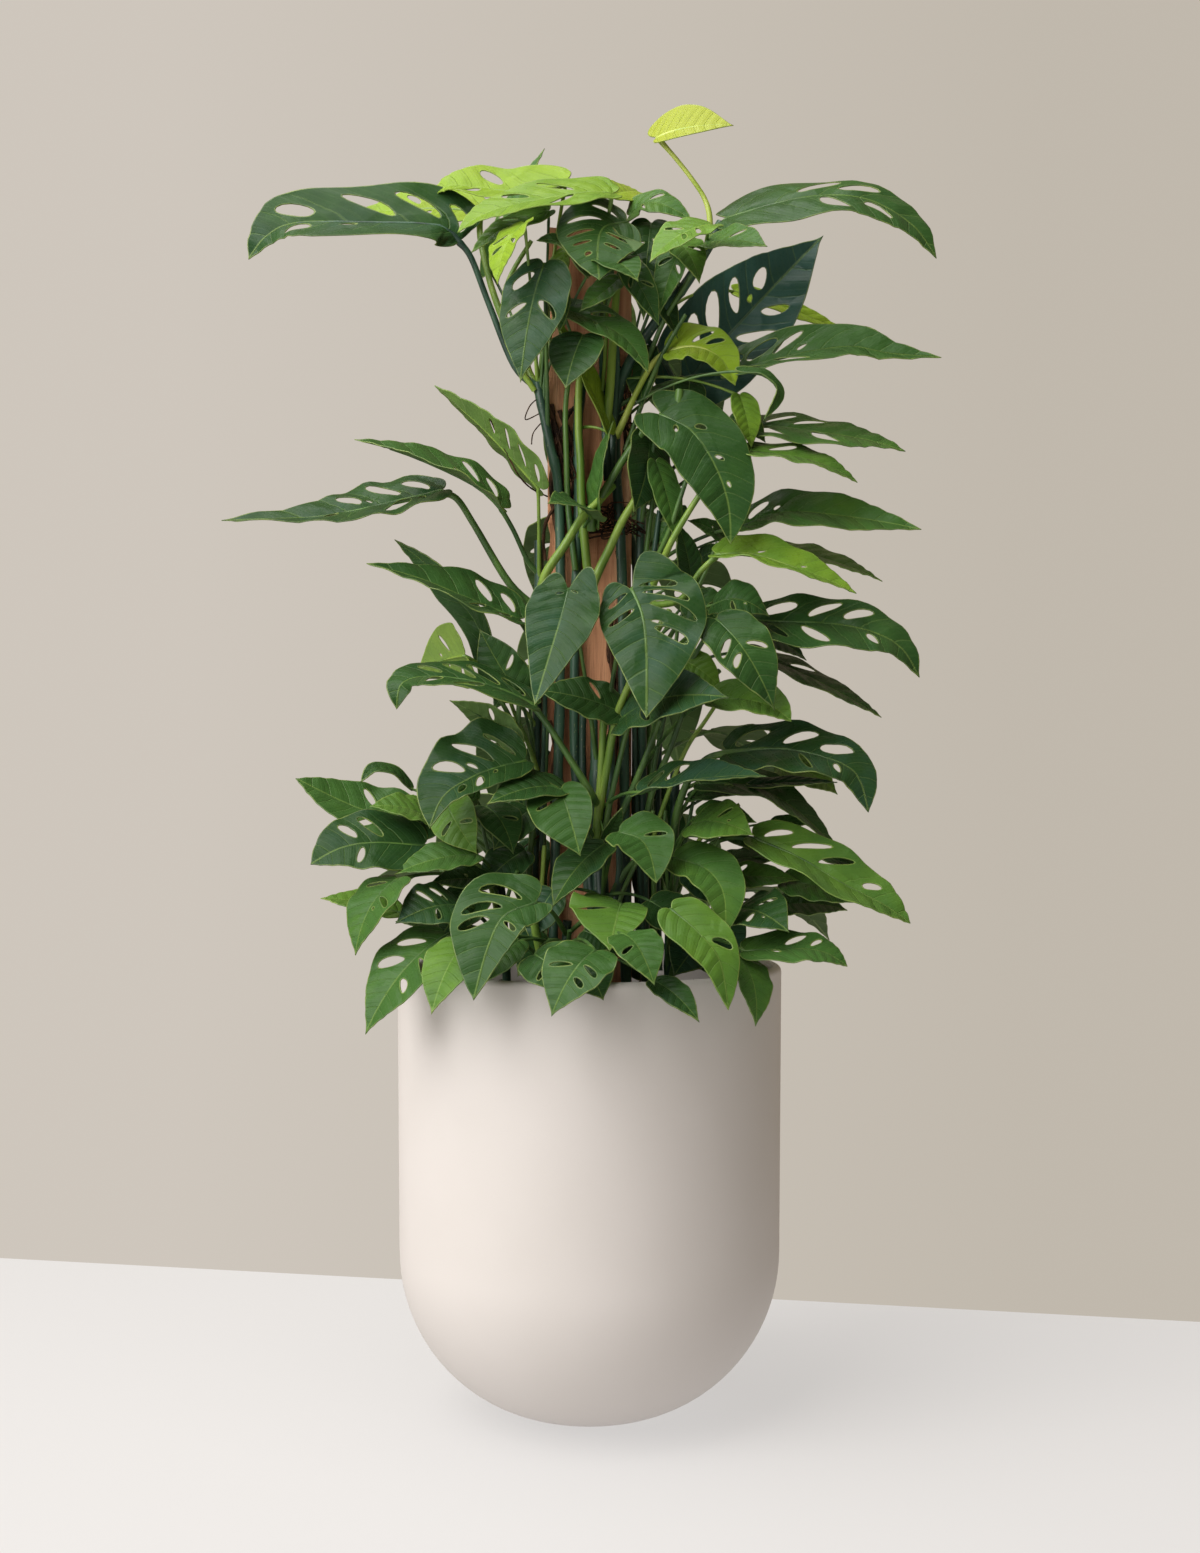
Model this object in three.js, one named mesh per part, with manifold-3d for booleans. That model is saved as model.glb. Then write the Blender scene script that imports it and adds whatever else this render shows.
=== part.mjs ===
// Monstera adansonii on a wooden plank, in a round-bottomed pot.
// Millimetres, +Z up. The pot's axis is the Z axis and its foot stands on z = 0; -Y is the front.
import * as THREE from "three";
import { mergeVertices } from "three/addons/utils/BufferGeometryUtils.js";
import Module from "manifold-3d";

const wasm = await Module();
wasm.setup();

// Driving sizes
const pot = { radius: 191, height: 447, wall: 12, foot: 40, roundStart: 24, roundRadius: 165, sides: 28 };
const soilTop = { height: 415, edgeDrop: 6, edgeWidth: 22 };
const seatGap = 0.35;
const cutClear = 20;
const plank = {
  width: 84,
  depth: 36,
  bottom: 120,
  topEdge: [[42, 1180], [12, 1182], [-20, 1177], [-42, 1179]],
};
const stemHole = { depth: 60, slack: 1.2, sides: 6 };
const stem = { sides: 6, extraSteps: 5, samples: 200 };
const stalk = { radius: 2.5, sides: 3, steps: 2, rise: 0.16, joinAlong: 0.04, joinShare: 0.1 };
const blade = { thickness: 1, cupPower: 1.5 };
const evenLeaf = { peak: 0.45, via: [], twist: 0, sides: [1, 1], lobes: [0, 0], stalk: [] };
const roundSteps = 4;
const finest = 0.02;

// Every place is given as [across, up, depth]. Across and up are read on the plane of the plank,
// along level lines that meet at a point in front of the plant, and depth is the true Y.
const sight = { distance: 2000, across: 10, height: 634 };

function place([across, up, depth]) {
  const reach = (sight.distance + depth) / sight.distance;
  return new THREE.Vector3(
    sight.across + (across - sight.across) * reach,
    depth,
    sight.height + (up - sight.height) * reach
  );
}

// Solids

function toManifold(geometry) {
  const bare = geometry.clone();
  bare.deleteAttribute("normal");
  bare.deleteAttribute("uv");
  const merged = mergeVertices(bare, 1e-4);
  const mesh = new wasm.Mesh({
    numProp: 3,
    vertProperties: new Float32Array(merged.attributes.position.array),
    triVerts: new Uint32Array(merged.index.array),
  });
  return new wasm.Manifold(mesh);
}

function toGeometry(manifold) {
  const mesh = manifold.getMesh();
  const geometry = new THREE.BufferGeometry();
  geometry.setAttribute("position", new THREE.BufferAttribute(mesh.vertProperties, 3));
  geometry.setIndex(new THREE.BufferAttribute(mesh.triVerts, 1));
  geometry.computeVertexNormals();
  return geometry;
}

function lathe(profile, sides) {
  const points = profile.map(([radius, height]) => new THREE.Vector2(radius, height));
  return new THREE.LatheGeometry(points, sides).rotateX(Math.PI / 2);
}

function tube(curve, radius, sides, steps) {
  const ring = [];
  for (let i = 0; i < sides; i++) {
    const angle = (i / sides) * 2 * Math.PI;
    ring.push(new THREE.Vector2(radius * Math.cos(angle), radius * Math.sin(angle)));
  }
  return new THREE.ExtrudeGeometry(new THREE.Shape(ring), {
    steps,
    extrudePath: curve,
    bevelEnabled: false,
  });
}

// Pot and soil

// The round bottom, from the foot's edge up to the straight wall; inset gives its inner side.
function roundBottom(radius, inset) {
  const points = [];
  const reach = pot.roundRadius - inset;
  const start = Math.asin((pot.foot - pot.roundStart) / reach);
  for (let i = 0; i <= roundSteps; i++) {
    const angle = start + (i / roundSteps) * (Math.PI / 2 - start);
    const r = pot.roundStart + reach * Math.sin(angle);
    const z = pot.roundRadius - reach * Math.cos(angle);
    points.push([Math.min(r, radius), i === 0 ? inset : z]);
  }
  return points;
}

function potGeometry() {
  const inner = pot.radius - pot.wall;
  const lip = [];
  for (const angle of [0, 45, 90, 135, 180].map(THREE.MathUtils.degToRad)) {
    const radius = pot.wall / 2;
    const out = pot.radius - radius + radius * Math.cos(angle);
    lip.push([out, pot.height - radius + radius * Math.sin(angle)]);
  }
  return lathe(
    [[0, 0], ...roundBottom(pot.radius, 0), ...lip, ...roundBottom(inner, pot.wall).reverse(), [0, pot.wall]],
    pot.sides
  );
}

function soilGeometry(stems) {
  const inset = pot.wall + seatGap;
  const outer = pot.radius - inset;
  const surface = [
    [outer, soilTop.height - soilTop.edgeDrop],
    [outer - soilTop.edgeWidth, soilTop.height],
    [0, soilTop.height],
  ];
  let soil = toManifold(lathe([[0, inset], ...roundBottom(outer, inset), ...surface], pot.sides));
  const top = soilTop.height + cutClear;
  const floor = plank.bottom - seatGap;
  const slot = new THREE.BoxGeometry(plank.width + 2 * seatGap, plank.depth + 2 * seatGap, top - floor);
  slot.translate(0, 0, (top + floor) / 2);
  soil = soil.subtract(toManifold(slot));
  for (const { foot, girth } of stems) {
    const radius = girth + stemHole.slack;
    const length = cutClear + stemHole.depth + seatGap;
    const bore = new THREE.CylinderGeometry(radius, radius, length, stemHole.sides).rotateX(Math.PI / 2);
    bore.translate(foot[0], foot[1], top - length / 2);
    soil = soil.subtract(toManifold(bore));
  }
  return toGeometry(soil);
}

function plankGeometry() {
  const half = plank.width / 2;
  const corners = [[-half, plank.bottom], [half, plank.bottom], ...plank.topEdge];
  const front = new THREE.Shape(corners.map(([across, up]) => new THREE.Vector2(across, up)));
  const board = new THREE.ExtrudeGeometry(front, { depth: plank.depth, bevelEnabled: false });
  return board.translate(0, 0, -plank.depth / 2).rotateX(Math.PI / 2);
}

// Leaves. A half outline runs from behind the stalk to the tip: [along the midrib, share of the half width].
const wideOutline = [[-0.04, 0.34], [0.07, 0.79], [0.28, 1], [0.56, 0.88], [0.82, 0.4]];
const plainOutline = [[-0.03, 0.42], [0.14, 0.88], [0.4, 0.98], [0.73, 0.62]];
const ribStops = { plain: [0.3, 0.62], bent: [0.28, 0.56, 0.82] };
const lobeEnd = 0.25;
const slotRow = { first: 0.13, spread: 0.5, slant: 0.14, from: 0.2, reach: 0.8, halfLength: 0.036 };

// The blade's midrib bends from base to tip; the leaf's face, its cup and its arch set the rest.
function bladeFrame({ base, tip, turn, lean, arch, peak, via }) {
  const chord = tip.clone().sub(base);
  const span = chord.length();
  chord.normalize();
  const azimuth = THREE.MathUtils.degToRad(turn);
  const rise = THREE.MathUtils.degToRad(lean);
  const face = new THREE.Vector3(
    Math.sin(azimuth) * Math.cos(rise),
    -Math.cos(azimuth) * Math.cos(rise),
    Math.sin(rise)
  );
  face.addScaledVector(chord, -face.dot(chord)).normalize();
  if (via.length > 0) {
    const spots = [base, ...via.map(place), tip];
    return { face, span, rib: new THREE.CatmullRomCurve3(spots, false, "catmullrom") };
  }
  const bend = base.clone().addScaledVector(chord, peak * span).addScaledVector(face, 2 * arch);
  return { face, span, rib: new THREE.QuadraticBezierCurve3(base, bend, tip) };
}

function bladePoint(leaf, frame, along, share, lift) {
  const on = THREE.MathUtils.clamp(along, 0, 1);
  const tangent = frame.rib.getTangent(on);
  const face = frame.face.clone().addScaledVector(tangent, -frame.face.dot(tangent)).normalize();
  face.applyAxisAngle(tangent, THREE.MathUtils.degToRad(leaf.twist * on));
  const side = new THREE.Vector3().crossVectors(tangent, face);
  const rise = leaf.cup * leaf.half * Math.abs(share) ** blade.cupPower + lift;
  return frame.rib
    .getPoint(on)
    .addScaledVector(tangent, (along - on) * frame.span)
    .addScaledVector(side, share * leaf.half)
    .addScaledVector(face, rise);
}

// The two halves can differ in width and in how far their lobes reach behind the stalk.
function rimCorner(leaf, side, [along, share]) {
  const half = side > 0 ? 0 : 1;
  const reach = along < lobeEnd ? leaf.lobes[half] * Math.sin(Math.PI * share) : 0;
  return [along - reach, side * share * leaf.sides[half]];
}

function rimShare(along) {
  const next = wideOutline.findIndex(([stop]) => stop > along);
  const [from, to] = [wideOutline[next - 1], wideOutline[next]];
  return THREE.MathUtils.mapLinear(along, from[0], to[0], from[1], to[1]);
}

// A slot lies between two side veins, which slant from the midrib towards the tip.
function slotCorners(leaf, side, index, count) {
  const { first, spread, slant, from, reach, halfLength } = slotRow;
  const near = first + (spread * (index + 0.35)) / count;
  const inner = from * rimShare(near);
  const outer = reach * rimShare(near + slant);
  const middle = (inner + outer) / 2;
  const across = side * leaf.sides[side > 0 ? 0 : 1];
  return [
    [near, across * inner],
    [near + slant / 2 - halfLength, across * middle],
    [near + slant, across * outer],
    [near + slant / 2 + halfLength, across * middle],
  ];
}

function bladeGeometry(leaf) {
  const frame = bladeFrame(leaf);
  const outline = leaf.slots > 0 ? wideOutline : plainOutline;
  const corners = [];
  const faces = [];
  const cornerIndex = new Map();
  const indexOf = ([along, share]) => {
    const key = `${along.toFixed(4)},${share.toFixed(4)}`;
    if (!cornerIndex.has(key)) {
      cornerIndex.set(key, corners.length);
      corners.push([along, share]);
    }
    return cornerIndex.get(key);
  };
  for (const side of [-1, 1]) {
    const stops = leaf.via.length > 0 ? ribStops.bent : ribStops.plain;
    const rib = [[0, 0], ...stops.map(along => [along, 0]), [1, 0]];
    const rim = outline.map(corner => rimCorner(leaf, side, corner)).reverse();
    const loop = [...rib, ...rim];
    const count = side < 0 ? Math.ceil(leaf.slots / 2) : Math.floor(leaf.slots / 2);
    const slots = Array.from({ length: count }, (_, index) => slotCorners(leaf, side, index, count));
    const flat = ([along, share]) => new THREE.Vector2(along * frame.span, share * leaf.half);
    const triangles = THREE.ShapeUtils.triangulateShape(loop.map(flat), slots.map(slot => slot.map(flat)));
    const all = [...loop, ...slots.flat()].map(indexOf);
    for (const [a, b, c] of triangles) {
      const [p, q, r] = [a, b, c].map(i => flat(corners[all[i]]));
      const turnsLeft = q.clone().sub(p).cross(r.clone().sub(p)) > 0;
      faces.push(turnsLeft ? [all[a], all[c], all[b]] : [all[a], all[b], all[c]]);
    }
  }
  return thickened(leaf, frame, corners, faces);
}

// Both faces take the same triangles; edges used once get a wall between the faces.
function thickened(leaf, frame, corners, faces) {
  const count = corners.length;
  const half = blade.thickness / 2;
  const positions = [half, -half].flatMap(lift =>
    corners.flatMap(([along, share]) => bladePoint(leaf, frame, along, share, lift).toArray())
  );
  const edges = new Map();
  const triangles = [];
  for (const [a, b, c] of faces) {
    triangles.push(a, b, c, a + count, c + count, b + count);
    for (const [from, to] of [[a, b], [b, c], [c, a]]) {
      if (!edges.delete(`${to},${from}`)) edges.set(`${from},${to}`, [from, to]);
    }
  }
  for (const [from, to] of edges.values()) {
    triangles.push(from, from + count, to, to, from + count, to + count);
  }
  const geometry = new THREE.BufferGeometry();
  geometry.setAttribute("position", new THREE.Float32BufferAttribute(positions, 3));
  geometry.setIndex(triangles);
  return geometry;
}

// Stems stand upright in the soil and then climb; each leaf's stalk leaves its stem at the height `from`.

function stemCurve({ foot, route }) {
  const steps = [-1, -0.5, 0, 1 / 3].map(share => share * stemHole.depth);
  const upright = steps.map(step => new THREE.Vector3(...foot, soilTop.height + step));
  return new THREE.CatmullRomCurve3([...upright, ...route.map(place)], false, "centripetal");
}

function stemPointAt(curve, height) {
  let best = curve.getPoint(0);
  for (let i = 1; i <= stem.samples; i++) {
    const point = curve.getPoint(i / stem.samples);
    if (Math.abs(point.z - height) < Math.abs(best.z - height)) best = point;
  }
  return best;
}

function stalkGeometry(leaf, curve) {
  const start = stemPointAt(curve, leaf.from);
  const end = bladePoint(leaf, bladeFrame(leaf), stalk.joinAlong, stalk.joinShare, 0);
  const bends = leaf.stalk.map(place);
  if (bends.length === 0) {
    bends.push(start.clone().lerp(end, 0.5));
    bends[0].z += stalk.rise * end.distanceTo(start);
  }
  end.addScaledVector(end.clone().sub(bends.at(-1)).normalize(), stalk.radius);
  const path = leaf.stalk.length > 0
    ? new THREE.CatmullRomCurve3([start, ...bends, end], false, "catmullrom")
    : new THREE.QuadraticBezierCurve3(start, bends[0], end);
  return tube(path, stalk.radius, stalk.sides, stalk.steps + leaf.stalk.length);
}

function leafOf(row) {
  const [from, base, tip, half, [turn, lean], arch, cup, slots, change] = row;
  const ends = { base: place(base), tip: place(tip) };
  return { ...evenLeaf, from, ...ends, half, turn, lean, arch, cup, slots, ...change };
}

function vineGeometry(vine) {
  const curve = stemCurve(vine);
  let body = toManifold(tube(curve, vine.girth, stem.sides, vine.route.length + stem.extraSteps));
  for (const row of vine.leaves) {
    const leaf = leafOf(row);
    body = body.add(toManifold(bladeGeometry(leaf))).add(toManifold(stalkGeometry(leaf, curve)));
  }
  return toGeometry(body.simplify(finest));
}

// Vines. A leaf's row holds: height on the stem, base, tip, half width, [turn, lean] of its face in
// degrees (turn 0 faces the front and grows to the right, lean 90 faces up), arch of its midrib,
// cup of its halves, number of slots and what differs from an even leaf: places the midrib or the
// stalk runs through, twist towards the tip in degrees, width and lobe length of either half.
const vines = [
  {
    name: "vine_upper_left",
    color: 0x3f6b4c,
    girth: 4.8,
    foot: [-34, -40],
    route: [
      [-36, 500, -36], [-31, 650, -30], [-29, 800, -28], [-31, 920, -28], [-40, 968, -29],
      [-52, 1028, -28],
    ],
    leaves: [
      [1018, [-130, 1169, -45], [-341, 1151, -70], 46, [0, 42], 0, 0.31, 3, {
        via: [[-150, 1185, -48], [-212, 1188, -56], [-290, 1188, -62], [-322, 1175, -66]],
        lobes: [-0.06, -0.06],
        stalk: [[-75, 1045, -30], [-100, 1105, -34], [-118, 1152, -40]],
      }],
      [1014, [-22, 1230, -34], [-156, 1216, -30], 34, [0, 50], 0, 0.26, 2, {
        via: [[-70, 1220, -34], [-110, 1223, -32], [-138, 1225, -31]],
      }],
      [1008, [-108, 1198, 46], [-238, 1195, 56], 34, [0, 44], 6, 0.15, 3, {
        stalk: [[-90, 1100, 6], [-108, 1165, 30]],
      }],
      [984, [-100, 1138, 30], [-45, 1262, 58], 20, [-42, 20], 4, 0.1, 0],
      [1020, [-65, 1188, -108], [-92, 1126, -130], 24, [-50, 20], 8, 0.1, 0],
      [994, [-40, 1200, -62], [-118, 1158, -86], 16, [0, 49], 0, 0.1, 0, {
        via: [[-70, 1189, -70], [-95, 1177, -78]],
      }],
      [974, [-45, 1148, -84], [-69, 1028, -114], 34, [-15, 20], 10, -0.1, 3],
    ],
  },
  {
    name: "vine_upper_front",
    color: 0x46744a,
    girth: 4.8,
    foot: [4, -48],
    route: [
      [2, 520, -42], [-14, 640, -30], [-14, 790, -28], [-11, 900, -27], [-10, 1010, -27], [8, 1075, -28],
      [20, 1140, -28],
    ],
    leaves: [
      [1040, [24, 1217, -68], [-132, 1178, -100], 36, [0, 56], 0, 0.12, 3, {
        via: [[0, 1219, -72], [-40, 1213, -80], [-80, 1205, -88], [-110, 1194, -94]],
      }],
      [1125, [20, 1214, -24], [52, 1217, 50], 20, [10, 35], 4, 0.1, 0],
      [1075, [38, 1189, -66], [10, 1130, -112], 44, [0, 26], 0, -0.05, 3, {
        via: [[14, 1183, -78], [8, 1160, -95]],
      }],
      [1060, [12, 1148, -74], [49, 1129, -118], 24, [20, 35], 8, 0.1, 0],
      [1030, [-30, 1104, -58], [59, 1038, -84], 24, [10, 50], 0, 0.15, 0, {
        via: [[10, 1088, -68], [40, 1068, -76]],
      }],
      [975, [19, 978, -50], [-34, 1094, -60], 20, [70, -10], 0, 0.2, 0, {
        via: [[2, 1022, -54], [-18, 1060, -58]],
      }],
      [860, [8, 884, -46], [24, 990, -60], 20, [-70, 5], 6, 0.2, 0],
      [1020, [-6, 1076, -72], [-24, 1021, -102], 27, [-10, 30], 6, 0.1, 0],
      [870, [3, 893, -58], [-42, 907, -114], 26, [-15, 40], 8, 0.1, 0],
      [1100, [40, 1195, -20], [102, 1191, -50], 20, [10, 36], 0, 0.1, 0, {
        via: [[56, 1208, -30], [78, 1204, -40]],
      }],
      [1090, [62, 1188, -24], [54, 1090, -46], 25, [-5, 20], 14, 0.1, 0],
    ],
  },
  {
    name: "vine_upper_right",
    color: 0x3a6652,
    girth: 5,
    foot: [36, -42],
    route: [
      [36, 520, -38], [34, 700, -31], [32, 850, -29], [26, 960, -29], [32, 1030, -30], [66, 1088, -34],
      [100, 1132, -36], [132, 1188, -32],
    ],
    leaves: [
      [1160, [67, 1273, -30], [144, 1285, -60], 28, [0, 34], 6, 0.2, 0, {
        sides: [0.6, 1.08],
        lobes: [-0.02, 0.08],
        stalk: [[120, 1195, -32], [115, 1212, -30], [105, 1228, -30], [88, 1250, -30]],
      }],
      [1174, [136, 1192, -30], [347, 1152, -70], 44, [0, 53], 0, -0.03, 3, {
        via: [[180, 1206, -40], [230, 1215, -50], [278, 1211, -58], [322, 1186, -66]],
      }],
      [1168, [116, 1168, -60], [178, 1164, -114], 26, [0, 42], 4, 0.18, 0],
      [1062, [88, 1018, 14], [234, 1175, 42], 52, [-5, 5], 8, 0.32, 3],
      [968, [78, 1060, -40], [146, 1025, -66], 30, [10, 48], 0, 0.23, 1, {
        via: [[105, 1064, -48], [130, 1053, -58]],
        stalk: [[32, 985, -40], [48, 1020, -40], [64, 1048, -40]],
      }],
      [1000, [140, 1037, -34], [352, 1053, -60], 36, [0, 57], 0, 0.29, 3, {
        via: [[165, 1046, -38], [210, 1057, -42], [260, 1064, -48], [300, 1057, -54]], twist: 15,
      }],
      [1090, [146, 1119, 66], [262, 1074, 88], 19, [0, 48], 4, 0.1, 0],
      [990, [147, 1040, -84], [174, 990, -92], 10, [60, 20], 0, 0.3, 0, {
        via: [[175, 1035, -88], [189, 1017, -90]],
      }],
      [1150, [122, 1186, -110], [60, 1148, -138], 28, [-10, 58], 8, 0.1, 1],
      [1110, [76, 1172, -66], [110, 1127, -84], 24, [25, 38], 12, 0.1, 0],
    ],
  },
  {
    name: "vine_right",
    color: 0x477a46,
    girth: 4.6,
    foot: [56, -22],
    route: [[54, 560, -20], [52, 700, -21], [50, 820, -22], [52, 900, -24], [54, 950, -26]],
    leaves: [
      [880, [70, 997, -66], [141, 866, -104], 40, [10, 25], 0, 0.1, 3, {
        via: [[102, 980, -78], [126, 944, -90], [139, 905, -98]], lobes: [0.08, 0.08],
      }],
      [870, [60, 976, -46], [44, 898, -62], 30, [45, 5], 6, 0.1, 0],
      [905, [148, 985, -20], [316, 959, -50], 36, [0, 60], 0, 0.02, 3, {
        via: [[190, 984, -28], [240, 977, -38], [280, 970, -44]],
      }],
      [890, [155, 960, -60], [268, 928, -82], 30, [0, 68], 0, 0.12, 1, {
        via: [[200, 955, -68], [235, 946, -76]],
      }],
      [830, [155, 885, -30], [332, 881, -50], 36, [0, 64], 0, 0.15, 2, {
        via: [[180, 896, -34], [210, 899, -38], [250, 895, -42], [290, 889, -46]], twist: 25,
      }],
      [800, [127, 856, -76], [267, 817, -100], 32, [0, 63], 0, 0.28, 1, {
        via: [[160, 857, -84], [200, 845, -92], [235, 832, -97]],
        stalk: [[90, 810, -60], [110, 838, -70]],
      }],
      [820, [180, 862, 0], [293, 829, -20], 28, [0, 70], 6, 0.1, 0],
      [740, [167, 790, -60], [330, 733, -90], 46, [0, 55], 0, 0.05, 3, {
        via: [[200, 789, -68], [240, 787, -76], [278, 780, -82], [310, 764, -87]],
      }],
      [750, [124, 806, -84], [180, 794, -98], 24, [0, 40], 14, 0.1, 0],
      [730, [145, 788, -30], [217, 750, -40], 26, [0, 60], 6, 0.1, 0],
      [720, [126, 792, -122], [185, 700, -150], 31, [10, 30], 14, 0.1, 1],
      [710, [155, 760, -26], [292, 693, -46], 28, [0, 71], 0, 0.05, 1, {
        via: [[200, 743, -32], [250, 718, -40]],
      }],
      [640, [120, 712, -112], [202, 689, -142], 28, [0, 54], 0, 0.2, 0, {
        via: [[155, 711, -124], [182, 704, -134]],
      }],
    ],
  },
  {
    name: "vine_front",
    color: 0x35604e,
    girth: 7,
    foot: [14, -68],
    route: [[14, 480, -60], [10, 560, -49], [8, 610, -46], [8, 650, -44]],
    leaves: [
      [632, [42, 822, -122], [57, 692, -172], 48, [-8, 20], 0, -0.06, 3, {
        via: [[53, 795, -134], [57, 755, -150]], sides: [0.82, 1.18], lobes: [0.06, 0.28],
      }],
      [640, [-21, 822, -122], [-55, 705, -160], 35, [-10, 18], 0, 0.05, 2, {
        via: [[-27, 798, -130], [-37, 765, -142]], lobes: [0.08, 0.17],
      }],
      [640, [32, 698, -84], [-55, 720, -98], 28, [0, 45], 6, 0.1, 1],
      [636, [32, 692, -100], [140, 713, -160], 40, [0, 44], 14, 0.1, 2],
      [560, [-29, 622, -110], [-9, 554, -150], 32, [0, 25], 8, 0.1, 1, {
        sides: [1.15, 0.75], lobes: [0.2, 0.05],
      }],
      [545, [-24, 623, -96], [-103, 606, -132], 26, [0, 58], 8, 0.15, 0],
      [520, [29, 579, -130], [67, 527, -172], 30, [5, 52], 0, 0.25, 1, {
        via: [[50, 572, -145], [61, 555, -158]],
      }],
      [510, [16, 567, -100], [-37, 503, -132], 28, [-40, 30], 8, 0.1, 0],
      [600, [50, 618, -118], [178, 634, -158], 32, [0, 68], 6, 0.3, 1],
      [605, [-55, 705, -104], [-193, 701, -134], 38, [0, 67], 0, 0.11, 3, {
        via: [[-85, 720, -110], [-125, 731, -118], [-165, 734, -124], [-188, 726, -130]],
        stalk: [[0, 620, -90], [-30, 668, -98], [-48, 694, -102]],
      }],
    ],
  },
  {
    name: "vine_left",
    color: 0x3c6a50,
    girth: 4.6,
    foot: [-56, -14],
    route: [[-54, 560, -14], [-52, 700, -14], [-50, 800, -15], [-51, 870, -16]],
    leaves: [
      [798, [-149, 919, -30], [-368, 890, -70], 46, [0, 63], 0, 0.15, 3, {
        via: [[-190, 910, -38], [-230, 901, -46], [-280, 893, -56]],
        stalk: [[-80, 827, -22], [-115, 885, -26], [-133, 912, -28]],
      }],
      [830, [-88, 903, -40], [-235, 971, -60], 38, [0, 71], 0, 0.28, 3, {
        via: [[-110, 923, -44], [-145, 941, -50], [-190, 959, -56]],
        stalk: [[-62, 850, -20], [-76, 880, -30]],
      }],
      [820, [-50, 922, -48], [-155, 1025, -44], 31, [118, 43], 0, 0.22, 1, {
        via: [[-80, 955, -48], [-110, 986, -46]],
      }],
      [740, [-70, 791, -60], [-223, 847, -90], 42, [0, 62], 0, 0.25, 3, {
        via: [[-100, 804, -66], [-130, 816, -72], [-170, 832, -80]],
      }],
      [700, [-103, 747, -34], [-195, 871, -24], 18, [-60, 20], 0, 0.15, 0, {
        via: [[-112, 785, -34], [-140, 820, -32], [-165, 848, -28]],
      }],
      [690, [-124, 755, -76], [-172, 742, -36], 34, [160, 20], 8, 0.1, 3],
      [620, [-72, 665, -56], [-140, 710, -60], 22, [150, 40], 6, 0.1, 0],
      [650, [-70, 716, -56], [-110, 782, -64], 24, [-30, 25], 8, 0.1, 0],
      [600, [-63, 650, -92], [-160, 582, -132], 42, [-10, 42], 0, 0.2, 3, {
        via: [[-90, 644, -100], [-118, 633, -110], [-146, 614, -122]], sides: [1.3, 0.62],
      }],
    ],
  },
  {
    name: "vine_lower_left",
    color: 0x3f7146,
    girth: 4.2,
    foot: [-82, -20],
    route: [[-86, 490, -22], [-92, 560, -24], [-96, 600, -26]],
    leaves: [
      [560, [-170, 588, 6], [-294, 632, -8], 38, [-10, 52], 0, 0.1, 2, { via: [[-230, 602, 0]] }],
      [540, [-165, 565, -66], [-279, 546, -106], 40, [0, 45], 0, 0.1, 3, {
        via: [[-215, 568, -84], [-250, 562, -96]],
      }],
      [550, [-158, 592, -48], [-220, 604, -72], 26, [0, 60], 6, 0.1, 0],
      [570, [-142, 606, -62], [-112, 556, -92], 24, [-30, 30], 10, 0.1, 0],
      [580, [-104, 604, -50], [-76, 556, -74], 24, [30, 30], 10, 0.1, 0],
      [520, [-112, 556, -86], [-195, 536, -106], 26, [0, 60], 6, 0.1, 0],
      [520, [-192, 532, -106], [-234, 455, -142], 30, [-40, 30], 12, 0.1, 1],
      [490, [-190, 498, -30], [-269, 512, -30], 26, [0, 68], 4, 0.1, 0],
      [480, [-130, 505, -102], [-194, 487, -142], 32, [0, 48], 8, 0.1, 1],
      [470, [-144, 475, -122], [-224, 376, -168], 38, [-30, 38], 14, 0.1, 3],
    ],
  },
  {
    name: "vine_lower_front",
    color: 0x4a8046,
    girth: 4.2,
    foot: [-24, -92],
    route: [[-24, 460, -94], [-22, 490, -96]],
    leaves: [
      [480, [-53, 508, -182], [-116, 410, -240], 40, [-15, 25], 0, 0.1, 3, {
        via: [[-85, 495, -200], [-102, 462, -220]], sides: [1.15, 0.65], lobes: [0.1, 0.05],
      }],
      [470, [-122, 470, -172], [-158, 396, -228], 26, [-20, 30], 10, 0.1, 0],
      [475, [-55, 456, -206], [-16, 416, -226], 28, [10, 35], 8, 0.1, 1],
      [470, [6, 460, -222], [-38, 394, -264], 32, [-20, 25], 12, 0.1, 1],
      [480, [32, 507, -136], [20, 459, -204], 38, [0, 36], 8, 0.1, 1, {
        sides: [1.2, 0.7], lobes: [0.2, 0],
      }],
      [470, [36, 476, -200], [65, 425, -246], 24, [15, 30], 10, 0.1, 0],
    ],
  },
  {
    name: "vine_lower_right",
    color: 0x44764a,
    girth: 4.4,
    foot: [78, -34],
    route: [[80, 490, -36], [84, 570, -38], [86, 640, -38]],
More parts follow.
